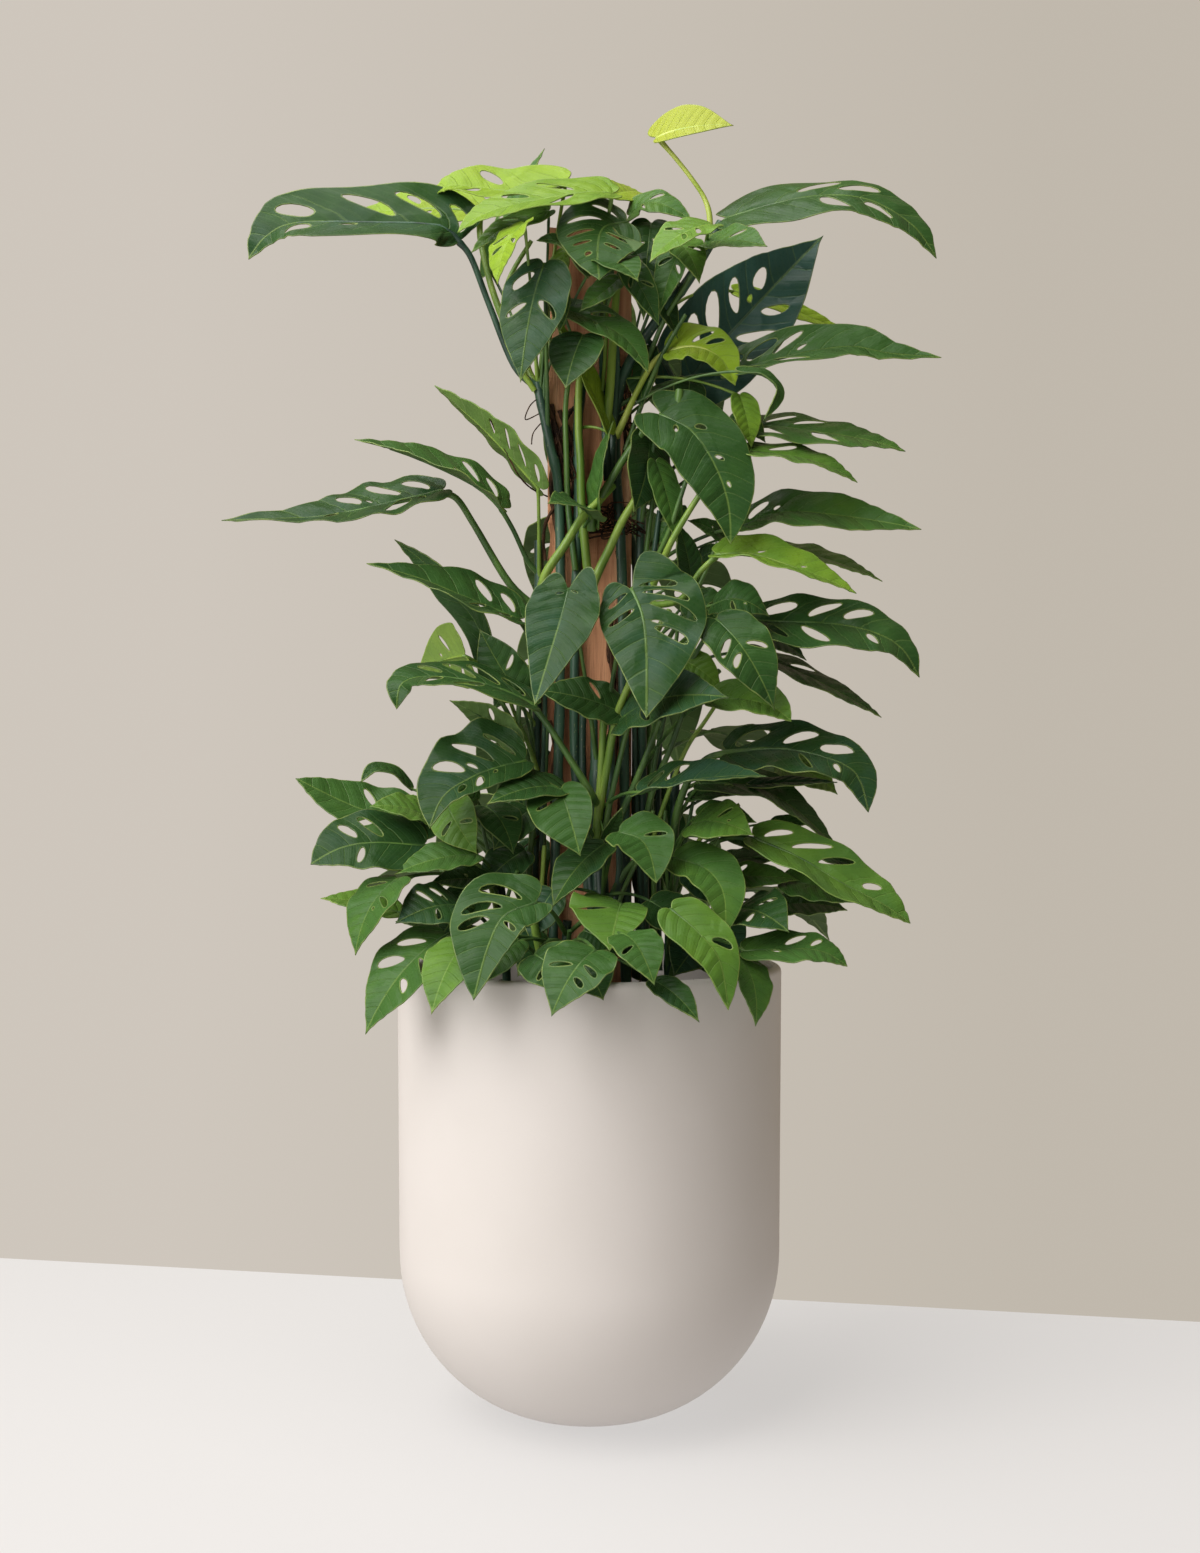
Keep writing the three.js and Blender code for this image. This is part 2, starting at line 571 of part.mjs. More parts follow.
    leaves: [
      [500, [84, 553, -122], [136, 475, -172], 28, [10, 48], 0, 0.2, 0, {
        via: [[116, 542, -142], [134, 517, -158]],
      }],
      [470, [145, 500, -112], [200, 478, -170], 34, [10, 40], 10, 0.1, 3],
      [465, [155, 460, -152], [258, 444, -166], 28, [0, 65], 0, 0.1, 1, {
        via: [[205, 462, -158], [235, 458, -162]],
      }],
      [500, [190, 505, -60], [258, 500, -70], 24, [0, 60], 5, 0.1, 0],
      [490, [195, 530, -92], [278, 507, -114], 28, [0, 58], 4, 0.1, 1],
      [530, [165, 572, -110], [321, 487, -152], 40, [0, 65], 0, 0.25, 3, {
        via: [[210, 553, -122], [255, 526, -135], [295, 505, -146]],
        stalk: [[95, 545, -60], [120, 565, -80], [142, 573, -98]],
      }],
      [540, [132, 548, -60], [210, 552, -60], 24, [0, 72], 4, 0.1, 0],
      [545, [104, 587, -114], [164, 575, -152], 30, [0, 48], 8, 0.1, 1],
      [580, [110, 627, -70], [248, 560, -76], 34, [0, 67], 0, 0.2, 2, {
        via: [[160, 625, -72], [205, 602, -74]],
      }],
      [570, [138, 658, -70], [279, 598, -112], 46, [0, 61], 0, 0.1, 3, {
        via: [[185, 662, -80], [230, 655, -92], [266, 637, -104]],
        stalk: [[88, 600, -50], [100, 632, -60], [118, 652, -66]],
      }],
      [620, [190, 645, -26], [248, 616, -36], 28, [0, 58], 8, 0.1, 0],
      [460, [81, 502, -182], [139, 400, -222], 28, [20, 35], 0, 0.1, 1, {
        via: [[107, 480, -196], [130, 450, -210]],
      }],
      [455, [150, 454, -160], [166, 384, -190], 22, [40, 20], 10, 0.1, 0],
    ],
  },
  {
    name: "vine_back_left",
    color: 0x3a6648,
    girth: 4.6,
    foot: [-20, 30],
    route: [[-20, 560, 30], [-20, 750, 29], [-21, 920, 28], [-20, 1080, 28]],
    leaves: [
      [1060, [0, 1120, 70], [-8, 1010, 140], 42, [185, 40], 20, 0.1, 1],
      [960, [-4, 1000, 96], [-6, 880, 180], 44, [182, 35], 22, 0.1, 1],
      [840, [-20, 890, 96], [-44, 790, 190], 38, [192, 40], 20, 0.1, 1],
      [740, [-24, 780, 120], [-50, 670, 215], 44, [180, 35], 22, 0.1, 1],
      [660, [-60, 690, 100], [-96, 600, 190], 38, [200, 42], 22, 0.1, 1],
      [560, [-80, 610, 120], [-150, 520, 230], 42, [200, 40], 22, 0.1, 1],
      [500, [-150, 540, 90], [-240, 480, 180], 38, [230, 50], 18, 0.1, 0],
      [460, [-40, 510, 150], [-60, 430, 250], 36, [185, 40], 18, 0.1, 0],
    ],
  },
  {
    name: "vine_back_right",
    color: 0x3d6a48,
    girth: 4.6,
    foot: [22, 30],
    route: [[22, 560, 30], [22, 750, 29], [22, 900, 28], [22, 1030, 28]],
    leaves: [
      [1010, [70, 1060, 96], [120, 950, 176], 46, [165, 38], 22, 0.1, 1],
      [900, [40, 940, 110], [60, 820, 200], 44, [175, 35], 20, 0.1, 1],
      [800, [84, 850, 96], [130, 750, 185], 42, [155, 42], 20, 0.1, 1],
      [700, [60, 750, 120], [90, 640, 210], 44, [170, 35], 22, 0.1, 1],
      [620, [120, 680, 100], [190, 610, 190], 40, [145, 45], 20, 0.1, 1],
      [540, [70, 590, 130], [120, 500, 240], 42, [165, 40], 22, 0.1, 1],
      [480, [150, 520, 100], [240, 470, 190], 38, [135, 50], 18, 0.1, 0],
    ],
  },
];

// Materials and assembly

const paint = (color, roughness) => new THREE.MeshStandardMaterial({ color, roughness, metalness: 0 });

function named(name, geometry, material) {
  const mesh = new THREE.Mesh(geometry, material);
  mesh.name = name;
  return mesh;
}

const plant = new THREE.Group();
plant.add(named("pot", potGeometry(), paint(0xe0d8ce, 0.75)));
plant.add(named("soil", soilGeometry(vines), paint(0x1c1714, 0.95)));
plant.add(named("post", plankGeometry(), paint(0xb0704e, 0.85)));
for (const vine of vines) {
  plant.add(named(vine.name, vineGeometry(vine), paint(vine.color, 0.45)));
}

export default plant;
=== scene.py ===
# Monstera adansonii on a wooden plank in a round-bottomed pot: the fine shapes and the finishes
import math
import random

import bmesh
import bpy
from mathutils import Matrix, Vector, noise


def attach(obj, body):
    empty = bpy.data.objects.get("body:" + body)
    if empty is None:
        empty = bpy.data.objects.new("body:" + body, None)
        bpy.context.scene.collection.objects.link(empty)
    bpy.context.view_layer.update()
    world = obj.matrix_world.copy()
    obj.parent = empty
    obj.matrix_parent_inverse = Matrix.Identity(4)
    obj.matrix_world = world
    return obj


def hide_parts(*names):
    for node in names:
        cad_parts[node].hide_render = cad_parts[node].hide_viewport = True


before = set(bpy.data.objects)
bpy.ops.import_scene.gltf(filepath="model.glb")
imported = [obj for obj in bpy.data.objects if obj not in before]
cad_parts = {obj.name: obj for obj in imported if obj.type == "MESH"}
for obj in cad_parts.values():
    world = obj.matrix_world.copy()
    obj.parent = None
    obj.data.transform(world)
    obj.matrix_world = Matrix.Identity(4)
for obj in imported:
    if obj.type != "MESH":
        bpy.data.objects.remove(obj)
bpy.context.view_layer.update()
print("frame loaded,", len(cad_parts), "nodes")

mm = 0.001
# A spot is (across, up, depth). Across and up are read on the plane where depth is 0, along lines
# that meet at this point, so a spot keeps its place in the front view at any depth.
sight = {"distance": 2000, "across": 10, "height": 634}


def place(spot):
    across, up, depth = spot
    reach = (sight["distance"] + depth) / sight["distance"]
    level = sight["across"] + (across - sight["across"]) * reach
    return Vector((level, depth, sight["height"] + (up - sight["height"]) * reach)) * mm


def addObject(name, data):
    made = bpy.data.objects.new(name, data)
    bpy.context.scene.collection.objects.link(made)
    return made


def makeMesh(bm, name):
    mesh = bpy.data.meshes.new(name)
    bm.to_mesh(mesh)
    bm.free()
    return mesh


def addPiece(name, mesh, materials, node):
    piece = addObject(name, mesh)
    for material in materials[len(mesh.materials):]:
        mesh.materials.append(material)
    mesh.shade_smooth()
    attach(piece, "root")
    if node:
        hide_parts(node)
    return piece


# Node helpers for the materials

def srgb(red, green, blue):
    return tuple((c / 255) ** 2.2 for c in (red, green, blue)) + (1,)


def startMaterial(name, roughness, specular=0.5):
    material = bpy.data.materials.new(name)
    material.use_nodes = True
    tree = material.node_tree
    shader = tree.nodes["Principled BSDF"]
    shader.inputs["Roughness"].default_value = roughness
    shader.inputs["Specular IOR Level"].default_value = specular
    return material, tree, shader


def feed(tree, target, value):
    if isinstance(value, bpy.types.NodeSocket):
        tree.links.new(value, target)
    else:
        target.default_value = value


def calc(tree, operation, first, second=0.0):
    node = tree.nodes.new("ShaderNodeMath")
    node.operation = operation
    feed(tree, node.inputs[0], first)
    feed(tree, node.inputs[1], second)
    return node.outputs[0]


def times(tree, first, second):
    return calc(tree, "MULTIPLY", first, second)


def plus(tree, first, second):
    return calc(tree, "ADD", first, second)


def spread(tree, value, low, high, toLow=0.0, toHigh=1.0):
    node = tree.nodes.new("ShaderNodeMapRange")
    node.interpolation_type = "SMOOTHSTEP"
    feed(tree, node.inputs["Value"], value)
    for name, limit in zip(("From Min", "From Max", "To Min", "To Max"), (low, high, toLow, toHigh)):
        node.inputs[name].default_value = limit
    return node.outputs["Result"]


def blendColor(tree, factor, first, second):
    node = tree.nodes.new("ShaderNodeMix")
    node.data_type = "RGBA"
    feed(tree, node.inputs["Factor"], factor)
    feed(tree, node.inputs[6], first)
    feed(tree, node.inputs[7], second)
    return node.outputs[2]


def tint(tree, color, pattern, window, shade):
    return blendColor(tree, spread(tree, pattern, *window), color, srgb(*shade))


def grain(tree, scale, stretch=(1, 1, 1), detail=4):
    coordinates = tree.nodes.new("ShaderNodeTexCoord")
    mapping = tree.nodes.new("ShaderNodeMapping")
    mapping.inputs["Scale"].default_value = stretch
    pattern = tree.nodes.new("ShaderNodeTexNoise")
    pattern.inputs["Scale"].default_value = scale
    pattern.inputs["Detail"].default_value = detail
    tree.links.new(coordinates.outputs["Object"], mapping.inputs["Vector"])
    tree.links.new(mapping.outputs["Vector"], pattern.inputs["Vector"])
    return pattern.outputs["Fac"]


def ramp(tree, value, stops):
    node = tree.nodes.new("ShaderNodeValToRGB")
    feed(tree, node.inputs["Fac"], value)
    elements = node.color_ramp.elements
    while len(elements) < len(stops):
        elements.new(0.5)
    for element, (position, shade) in zip(elements, stops):
        element.position = position
        element.color = srgb(*shade)
    return node.outputs["Color"]


def named(tree, name):
    node = tree.nodes.new("ShaderNodeAttribute")
    node.attribute_name = name
    return node.outputs["Fac"]


def paint(tree, shader, color):
    tree.links.new(color, shader.inputs["Base Color"])


def relief(tree, shader, height, distance, strength=1.0):
    node = tree.nodes.new("ShaderNodeBump")
    node.inputs["Distance"].default_value = distance
    node.inputs["Strength"].default_value = strength
    feed(tree, node.inputs["Height"], height)
    tree.links.new(node.outputs["Normal"], shader.inputs["Normal"])


# Camera, floor and light. The floor's back edge runs askew.

stage = {
    "camera": (10.5, -2000, 634), "lens": 46.36, "sensor": 36, "aim": (0, 0, 700),
    "floor": [(-4000, 1301), (-4000, -4000), (4000, -4000), (4000, -358)],
    "floorColor": (133, 131, 129), "glowColor": (252, 250, 249), "glow": 0.54,
    # The backdrop colours are painted lighter on the left and darker on the right: painted light falloff from
    # the key light at the left.
    "backdrop": [(0.35, (205, 197, 187)), (0.65, (191, 183, 171))],
    "fill": (0.2, 0.5), "fillColor": (206, 186, 156), "lightColor": (1, 0.99, 0.98),
    "lights": [
        {"name": "key", "at": (-2500, -2400, 2700), "size": 3600, "power": 208},
        {"name": "top", "at": (-700, -500, 3300), "size": 2600, "power": 75},
    ],
}


def makeStage():
    camera = addObject("camera", bpy.data.cameras.new("camera"))
    camera.location = Vector(stage["camera"]) * mm
    camera.rotation_euler = (math.pi / 2, 0, 0)
    camera.data.sensor_width = stage["sensor"]
    camera.data.lens = stage["lens"]
    bpy.context.scene.camera = camera

    bm = bmesh.new()
    bm.faces.new([bm.verts.new(Vector((x, y, 0)) * mm) for x, y in stage["floor"]])
    floor = addObject("floor", makeMesh(bm, "floor"))
    material, tree, shader = startMaterial("paleFloor", 0.7, 0.2)
    shader.inputs["Base Color"].default_value = srgb(*stage["floorColor"])
    shader.inputs["Emission Color"].default_value = srgb(*stage["glowColor"])
    shader.inputs["Emission Strength"].default_value = stage["glow"]
    floor.data.materials.append(material)

    for light in stage["lights"]:
        lamp = bpy.data.lights.new(light["name"], "AREA")
        lamp.energy = light["power"]
        lamp.size = light["size"] * mm
        lamp.color = stage["lightColor"]
        holder = addObject(light["name"], lamp)
        holder.location = Vector(light["at"]) * mm
        toward = Vector(stage["aim"]) - Vector(light["at"])
        holder.rotation_euler = toward.to_track_quat("-Z", "Y").to_euler()

    # The world shows the backdrop behind the plant with painted light falloff: lighter on the left, where the
    # key light comes from, darker to the right. It lights the plant with a warmer colour and more weakly.
    world = bpy.data.worlds.new("studio")
    world.use_nodes = True
    tree = world.node_tree
    background = tree.nodes["Background"]
    around = tree.nodes.new("ShaderNodeSeparateXYZ")
    tree.links.new(tree.nodes.new("ShaderNodeTexCoord").outputs["Generated"], around.inputs["Vector"])
    seen = tree.nodes.new("ShaderNodeLightPath").outputs["Is Camera Ray"]
    backdrop = ramp(tree, spread(tree, around.outputs["X"], -1, 1), stage["backdrop"])
    shown = blendColor(tree, seen, srgb(*stage["fillColor"]), backdrop)
    tree.links.new(shown, background.inputs["Color"])
    fill = spread(tree, around.outputs["Y"], -1, 1, *stage["fill"])
    tree.links.new(calc(tree, "MAXIMUM", seen, fill), background.inputs["Strength"])
    bpy.context.scene.world = world
    bpy.context.scene.view_settings.view_transform = "Standard"


makeStage()
print("stage ready")


# Pot, with a flat foot under the round bottom

pot = {
    "radius": 191, "height": 447, "wall": 12, "foot": 40, "roundStart": 24, "roundRadius": 165,
    "roundSteps": 22, "lipSteps": 10, "turns": 128,
    "clouds": [(0.3, (205, 199, 194)), (0.7, (210, 204, 200))], "specks": (194, 187, 180),
}


def spinProfile(profile, turns):
    bm = bmesh.new()
    rim = [bm.verts.new((radius * mm, 0, height * mm)) for radius, height in profile]
    edges = [bm.edges.new(pair) for pair in zip(rim, rim[1:])]
    bmesh.ops.spin(
        bm, geom=rim + edges, cent=(0, 0, 0), axis=(0, 0, 1), angle=2 * math.pi, steps=turns, use_merge=True
    )
    bmesh.ops.remove_doubles(bm, verts=bm.verts, dist=0.01 * mm)
    bmesh.ops.recalc_face_normals(bm, faces=bm.faces)
    return bm


def roundBottom(radius, inset):
    reach = pot["roundRadius"] - inset
    start = math.asin((pot["foot"] - pot["roundStart"]) / reach)
    points = []
    for step in range(pot["roundSteps"] + 1):
        angle = start + step / pot["roundSteps"] * (math.pi / 2 - start)
        height = pot["roundRadius"] - reach * math.cos(angle)
        points.append((min(pot["roundStart"] + reach * math.sin(angle), radius), height if step else inset))
    return points


def ceramicMaterial():
    material, tree, shader = startMaterial("mattCeramic", 0.62, 0.35)
    cloud = grain(tree, 5, detail=3)
    speck = grain(tree, 900, detail=2)
    color = ramp(tree, cloud, pot["clouds"])
    paint(tree, shader, tint(tree, color, speck, (0.62, 0.8, 0, 0.25), pot["specks"]))
    feed(tree, shader.inputs["Roughness"], spread(tree, cloud, 0.2, 0.8, 0.56, 0.68))
    relief(tree, shader, plus(tree, times(tree, cloud, 3), speck), 0.12 * mm, 0.5)
    return material


def makePot():
    lipRadius = pot["wall"] / 2
    lip = []
    for step in range(pot["lipSteps"] + 1):
        angle = math.pi * step / pot["lipSteps"]
        radius = pot["radius"] - lipRadius * (1 - math.cos(angle))
        lip.append((radius, pot["height"] - lipRadius * (1 - math.sin(angle))))
    outside = roundBottom(pot["radius"], 0)
    inside = roundBottom(pot["radius"] - pot["wall"], pot["wall"])[::-1]
    bm = spinProfile([(0, 0), *outside, *lip, *inside, (0, pot["wall"])], pot["turns"])
    addPiece("ceramicPot", makeMesh(bm, "ceramicPot"), [ceramicMaterial()], "pot")


makePot()
print("pot made")


# Soil, with loose crumbs and bark bits on it

soil = {
    "top": 415, "sunk": 3, "drop": 6, "gap": 0.35, "rings": 26, "turns": 110,
    "bumps": 5.5, "lumps": 38, "crumbs": 130, "edgePower": 6, "edgeSunk": -2,
    "colors": [(0.3, (14, 11, 9)), (0.5, (36, 28, 22)), (0.72, (70, 54, 40))],
    "bits": 620, "seed": 41, "bitSize": (1.6, 5.2), "bitBroad": (0.5, 0.9), "bitFlat": (0.3, 0.6),
    "bitRagged": 0.2, "bitEdge": 8, "bitDust": (20, 15, 11),
    "bitColors": [(0.36, (30, 22, 17)), (0.5, (78, 54, 36)), (0.62, (112, 84, 58)), (0.72, (176, 166, 150))],
}


def soilHeight(x, y):
    lumps = noise.fractal(Vector((x, y, 0)) * soil["lumps"], 0.8, 2.1, 4)
    crumbs = noise.fractal(Vector((x, y, 9)) * soil["crumbs"], 0.7, 2.0, 3)
    return (lumps + 0.5 * crumbs) * soil["bumps"] * mm


def soilMaterial():
    material, tree, shader = startMaterial("pottingSoil", 0.95, 0.2)
    crumb = grain(tree, 260, detail=6)
    fine = grain(tree, 1400, detail=3)
    height = plus(tree, times(tree, crumb, 0.7), times(tree, fine, 0.3))
    paint(tree, shader, ramp(tree, height, soil["colors"]))
    relief(tree, shader, height, 3 * mm, 1.0)
    return material


def bitMaterial():
    material, tree, shader = startMaterial("soilBits", 0.9, 0.25)
    patch = grain(tree, 34, detail=1)
    fine = grain(tree, 700, detail=4)
    color = ramp(tree, patch, soil["bitColors"])
    paint(tree, shader, tint(tree, color, fine, (0.3, 0.7, 0.5, 0), soil["bitDust"]))
    relief(tree, shader, fine, 0.8 * mm, 0.8)
    return material


def makeSoil():
    inset = pot["wall"] + soil["gap"]
    outer = pot["radius"] - inset
    level = soil["top"] - soil["sunk"]
    surface = [(outer, soil["top"] - soil["drop"])]
    for ring in range(soil["rings"] + 1):
        surface.append(((outer - 2) * (1 - ring / soil["rings"]), level))
    bm = spinProfile([(0, inset), *roundBottom(outer, inset), *surface], soil["turns"])
    for vert in bm.verts:
        if vert.co.z > (level - 1) * mm:
            edge = 1 - (vert.co.xy.length / (outer * mm)) ** soil["edgePower"]
            vert.co.z += edge * soilHeight(vert.co.x, vert.co.y) + (1 - edge) * soil["edgeSunk"] * mm
    addPiece("pottingSoil", makeMesh(bm, "pottingSoil"), [soilMaterial()], "soil")

    draw = random.Random(soil["seed"])
    bm = bmesh.new()
    for _ in range(soil["bits"]):
        size = draw.uniform(*soil["bitSize"]) * mm
        angle = draw.uniform(0, 2 * math.pi)
        reach = (outer - soil["bitEdge"]) * mm * math.sqrt(draw.random())
        x, y = reach * math.cos(angle), reach * math.sin(angle)
        turn = Matrix.Rotation(draw.uniform(0, 6.3), 4, (draw.random(), draw.random(), draw.random()))
        flat = Matrix.Diagonal((1, draw.uniform(*soil["bitBroad"]), draw.uniform(*soil["bitFlat"]), 1))
        at = Matrix.Translation((x, y, level * mm + soilHeight(x, y) + 0.3 * size))
        bit = bmesh.ops.create_icosphere(bm, subdivisions=1, radius=size, matrix=at @ turn @ flat)["verts"]
        for vert in bit:
            shift = Vector((draw.uniform(-1, 1), draw.uniform(-1, 1), draw.uniform(-1, 1)))
            vert.co += shift * soil["bitRagged"] * size
    bits = addPiece("soilBits", makeMesh(bm, "soilBits"), [bitMaterial()], "soil")
    for face in bits.data.polygons:
        face.use_smooth = False


makeSoil()
print("soil made")


# Plank, sawn rough and chipped along its left edge

plank = {
    "width": 84, "depth": 36, "bottom": 120, "top": 1184,
    "topEdge": [(42, 1180), (12, 1182), (-20, 1177), (-42, 1179)],
    "bevel": 1.4, "cutsAcross": 14, "cutsDeep": 5, "cutsUp": 150,
    "rough": 0.7, "worn": 0.5, "streak": 0.11, "along": 0.006, "chipShort": 3,
    "chips": [(668, 14, 7), (1098, 30, 4), (870, 16, 4), (560, 24, 5)],  # height, half length, depth
    "wood": [(0.3, (150, 98, 70)), (0.5, (202, 146, 108)), (0.72, (224, 176, 136))],
    "pores": (128, 82, 60), "patches": (164, 114, 84),
}


def woodMaterial():
    material, tree, shader = startMaterial("roughSawnWood", 0.86, 0.25)
    long = grain(tree, 90, (1, 1, 0.045), 6)
    fine = grain(tree, 620, (1, 1, 0.05), 4)
    patch = grain(tree, 14, (1, 1, 0.4), 3)
    saw = grain(tree, 240, (0.15, 0.3, 1.6), 2)
    color = tint(tree, ramp(tree, long, plank["wood"]), fine, (0.52, 0.75, 0, 0.45), plank["pores"])
    paint(tree, shader, tint(tree, color, patch, (0.45, 0.75, 0, 0.5), plank["patches"]))
    height = plus(tree, times(tree, long, 0.8), plus(tree, fine, times(tree, saw, 0.5)))
    relief(tree, shader, height, 1.1 * mm, 0.9)
    return material


def makePlank():
    half = plank["width"] / 2 * mm
    side = half / mm
    bm = bmesh.new()
    outline = [(-side, plank["bottom"]), (side, plank["bottom"]), *plank["topEdge"]]
    front = bm.faces.new([bm.verts.new(Vector((x, plank["depth"] / 2, z)) * mm) for x, z in outline])
    wall = bmesh.ops.extrude_face_region(bm, geom=[front])["geom"]
    moved = [part for part in wall if isinstance(part, bmesh.types.BMVert)]
    bmesh.ops.translate(bm, verts=moved, vec=(0, -plank["depth"] * mm, 0))
    bmesh.ops.recalc_face_normals(bm, faces=bm.faces)
    bmesh.ops.bevel(
        bm, geom=bm.edges[:], offset=plank["bevel"] * mm, segments=2, profile=0.5, affect="EDGES", material=-1
    )
    for axis, low, high, cuts in (
        ((0, 0, 1), plank["bottom"], plank["top"], plank["cutsUp"]),
        ((1, 0, 0), -side, side, plank["cutsAcross"]),
        ((0, 1, 0), -plank["depth"] / 2, plank["depth"] / 2, plank["cutsDeep"]),
    ):
        for cut in range(1, cuts):
            spot = Vector(axis) * (low + (high - low) * cut / cuts) * mm
            everything = bm.verts[:] + bm.edges[:] + bm.faces[:]
            bmesh.ops.bisect_plane(bm, geom=everything, plane_co=spot, plane_no=axis)
    for vert in bm.verts:
        x, y, z = vert.co / mm
        spot = Vector((x * plank["streak"], y * plank["streak"], z * plank["along"]))
        streak = noise.fractal(spot, 0.8, 2.1, 4)
        vert.co -= vert.co.xy.to_3d().normalized() * (plank["worn"] + streak) * plank["rough"] * mm
        for up, tall, deep in plank["chips"]:
            inward = max(0, 1 - (x / half * mm + 1) * plank["chipShort"]) if x < 0 else 0
            bite = max(0, 1 - ((z - up) / tall) ** 2) * inward
            ragged = 0.6 + 0.8 * abs(noise.noise(Vector((z * 0.15, y * 0.1, up))))
            vert.co.x += bite * deep * ragged * mm
    addPiece("plank", makeMesh(bm, "plank"), [woodMaterial()], "post")


makePlank()
print("plank made")


# Leaves. A half outline runs from the stalk round the lobe to the tip: (along the midrib, share of
# the half width). Widths of holes and the sizes of pleats and waves are shares of the blade too.

blade = {
    "thick": 0.9, "margin": 0.8, "ribSteps": 28, "viaSteps": 10, "outlineSteps": 3,
    "cutsAlong": 17, "cutsBehind": 3, "cutsAcross": 10, "cutGap": 2.4, "ribCut": 0.035,
    "wide": [(0.015, 0), (-0.025, 0.13), (-0.043, 0.34), (-0.01, 0.6), (0.07, 0.8), (0.17, 0.94), (0.29, 1),
             (0.42, 0.98), (0.56, 0.88), (0.7, 0.67), (0.82, 0.4), (0.91, 0.18), (0.96, 0.06), (1, 0)],
    "plain": [(0.01, 0), (-0.02, 0.12), (-0.03, 0.32), (0, 0.56), (0.08, 0.78), (0.2, 0.93), (0.35, 0.99),
              (0.5, 0.94), (0.64, 0.79), (0.77, 0.54), (0.88, 0.26), (0.95, 0.08), (1, 0)],
    "lobeEnd": 0.25, "veinRise": 0.2, "veinPower": 1.35, "veinGap": 0.13, "veinStart": 0.1, "sparse": 1.6,
    "holeFrom": 0.17, "holeTo": 0.84, "holeWide": 0.036, "holeLean": 0.15, "holeSwell": 0.25,
    "holeCorners": 16,
    "smallFrom": 0.12, "smallTo": 0.34, "smallWide": 0.016,
    "varyWide": (0.85, 1.1), "varyFrom": (0.85, 1.15), "varyTo": (0.94, 1),
    "cupPower": 1.5, "pleat": 0.02, "pleatStart": 5, "groove": 0.8, "grooveWide": 0.05,
    "wave": 0.065, "waves": (2.2, 3.6), "waveShift": 1.3, "varyTone": 0.04,
}
# From yellow-green young leaves to blue-green old ones; the stops are where each colour is reached. The dark
# tones also carry painted shade: some leaves that sit in shade were given a darker tone than their own
# colour.
tones = {
    "Y": 0.0, "L": 0.17, "P": 0.27, "B": 0.36, "O": 0.46,
    "M": 0.56, "G": 0.68, "D": 0.75, "K": 0.81, "T": 1.0,
}
toneStops = [
    (0.0, (146, 156, 58)), (0.17, (126, 154, 46)), (0.36, (92, 126, 46)), (0.56, (63, 96, 46)),
    (0.8, (43, 69, 37)), (1.0, (57, 86, 76)),
]
leafColors = {
    "topVein": (120, 146, 78), "topMidrib": (140, 166, 84), "under": (108, 128, 84),
    "underVein": (140, 160, 104), "margin": (136, 152, 74),
}


def smoothLine(points, steps):
    line = []
    for i in range(len(points) - 1):
        before, after = points[max(i - 1, 0)], points[min(i + 2, len(points) - 1)]
        start, end = points[i], points[i + 1]
        for step in range(steps):
            t = step / steps
            bend = (2 * before - 5 * start + 4 * end - after) * t ** 2
            bend += (3 * (start - end) + after - before) * t ** 3
            line.append(0.5 * (2 * start + (end - before) * t + bend))
    line.append(points[-1])
    return line


def archLine(start, bend, end, count):
    steps = [i / count for i in range(count + 1)]
    return [start * (1 - t) ** 2 + bend * 2 * t * (1 - t) + end * t ** 2 for t in steps]


def ribOf(leaf):
    base, tip = place(leaf["base"]), place(leaf["tip"])
    chord = tip - base
    span = chord.length
    chord.normalize()
    turn, lean = (math.radians(angle) for angle in leaf["facing"])
    face = Vector((math.sin(turn) * math.cos(lean), -math.cos(turn) * math.cos(lean), math.sin(lean)))
    face = (face - chord * face.dot(chord)).normalized()
    if leaf["via"]:
        line = smoothLine([base, *(place(spot) for spot in leaf["via"]), tip], blade["viaSteps"])
    else:
        bend = base + chord * leaf["peak"] * span + face * 2 * leaf["arch"] * mm
        line = archLine(base, bend, tip, blade["ribSteps"])
    return {"line": line, "face": face, "span": span, "twist": math.radians(leaf["twist"])}


def onRib(rib, along):
    line = rib["line"]
    share = min(max(along, 0), 1)
    index = min(int(share * (len(line) - 1)), len(line) - 2)
    t = share * (len(line) - 1) - index
    start, end = line[index], line[index + 1]
    before, after = line[max(index - 1, 0)], line[min(index + 2, len(line) - 1)]
    tangent = ((end - before).normalized() * (1 - t) + (after - start).normalized() * t).normalized()
    face = (rib["face"] - tangent * rib["face"].dot(tangent)).normalized()
    if rib["twist"]:
        face = Matrix.Rotation(rib["twist"] * share, 3, tangent) @ face
    return start.lerp(end, t), tangent, face


def rimOf(leaf, side):
    broad = leaf["plus"] or leaf["minus"] or leaf["round"]
    points = [Vector(point) for point in (blade["wide"] if broad else blade["plain"])]
    which = 0 if side > 0 else 1
    wide, lobe = leaf["sides"][which], leaf["lobes"][which]
    rim = []
    for along, share in smoothLine(points, blade["outlineSteps"]):
        back = lobe * math.sin(math.pi * share) if along < blade["lobeEnd"] else 0
        rim.append((along - back, share * wide))
    return rim


def rimShare(rim, along):
    for (start, low), (end, high) in zip(rim[2:], rim[3:]):
        if start <= along <= end:
            return low + (high - low) * (along - start) / (end - start)
    return rim[2][1]


def veinRise(share):
    return blade["veinRise"] * abs(share) ** blade["veinPower"]


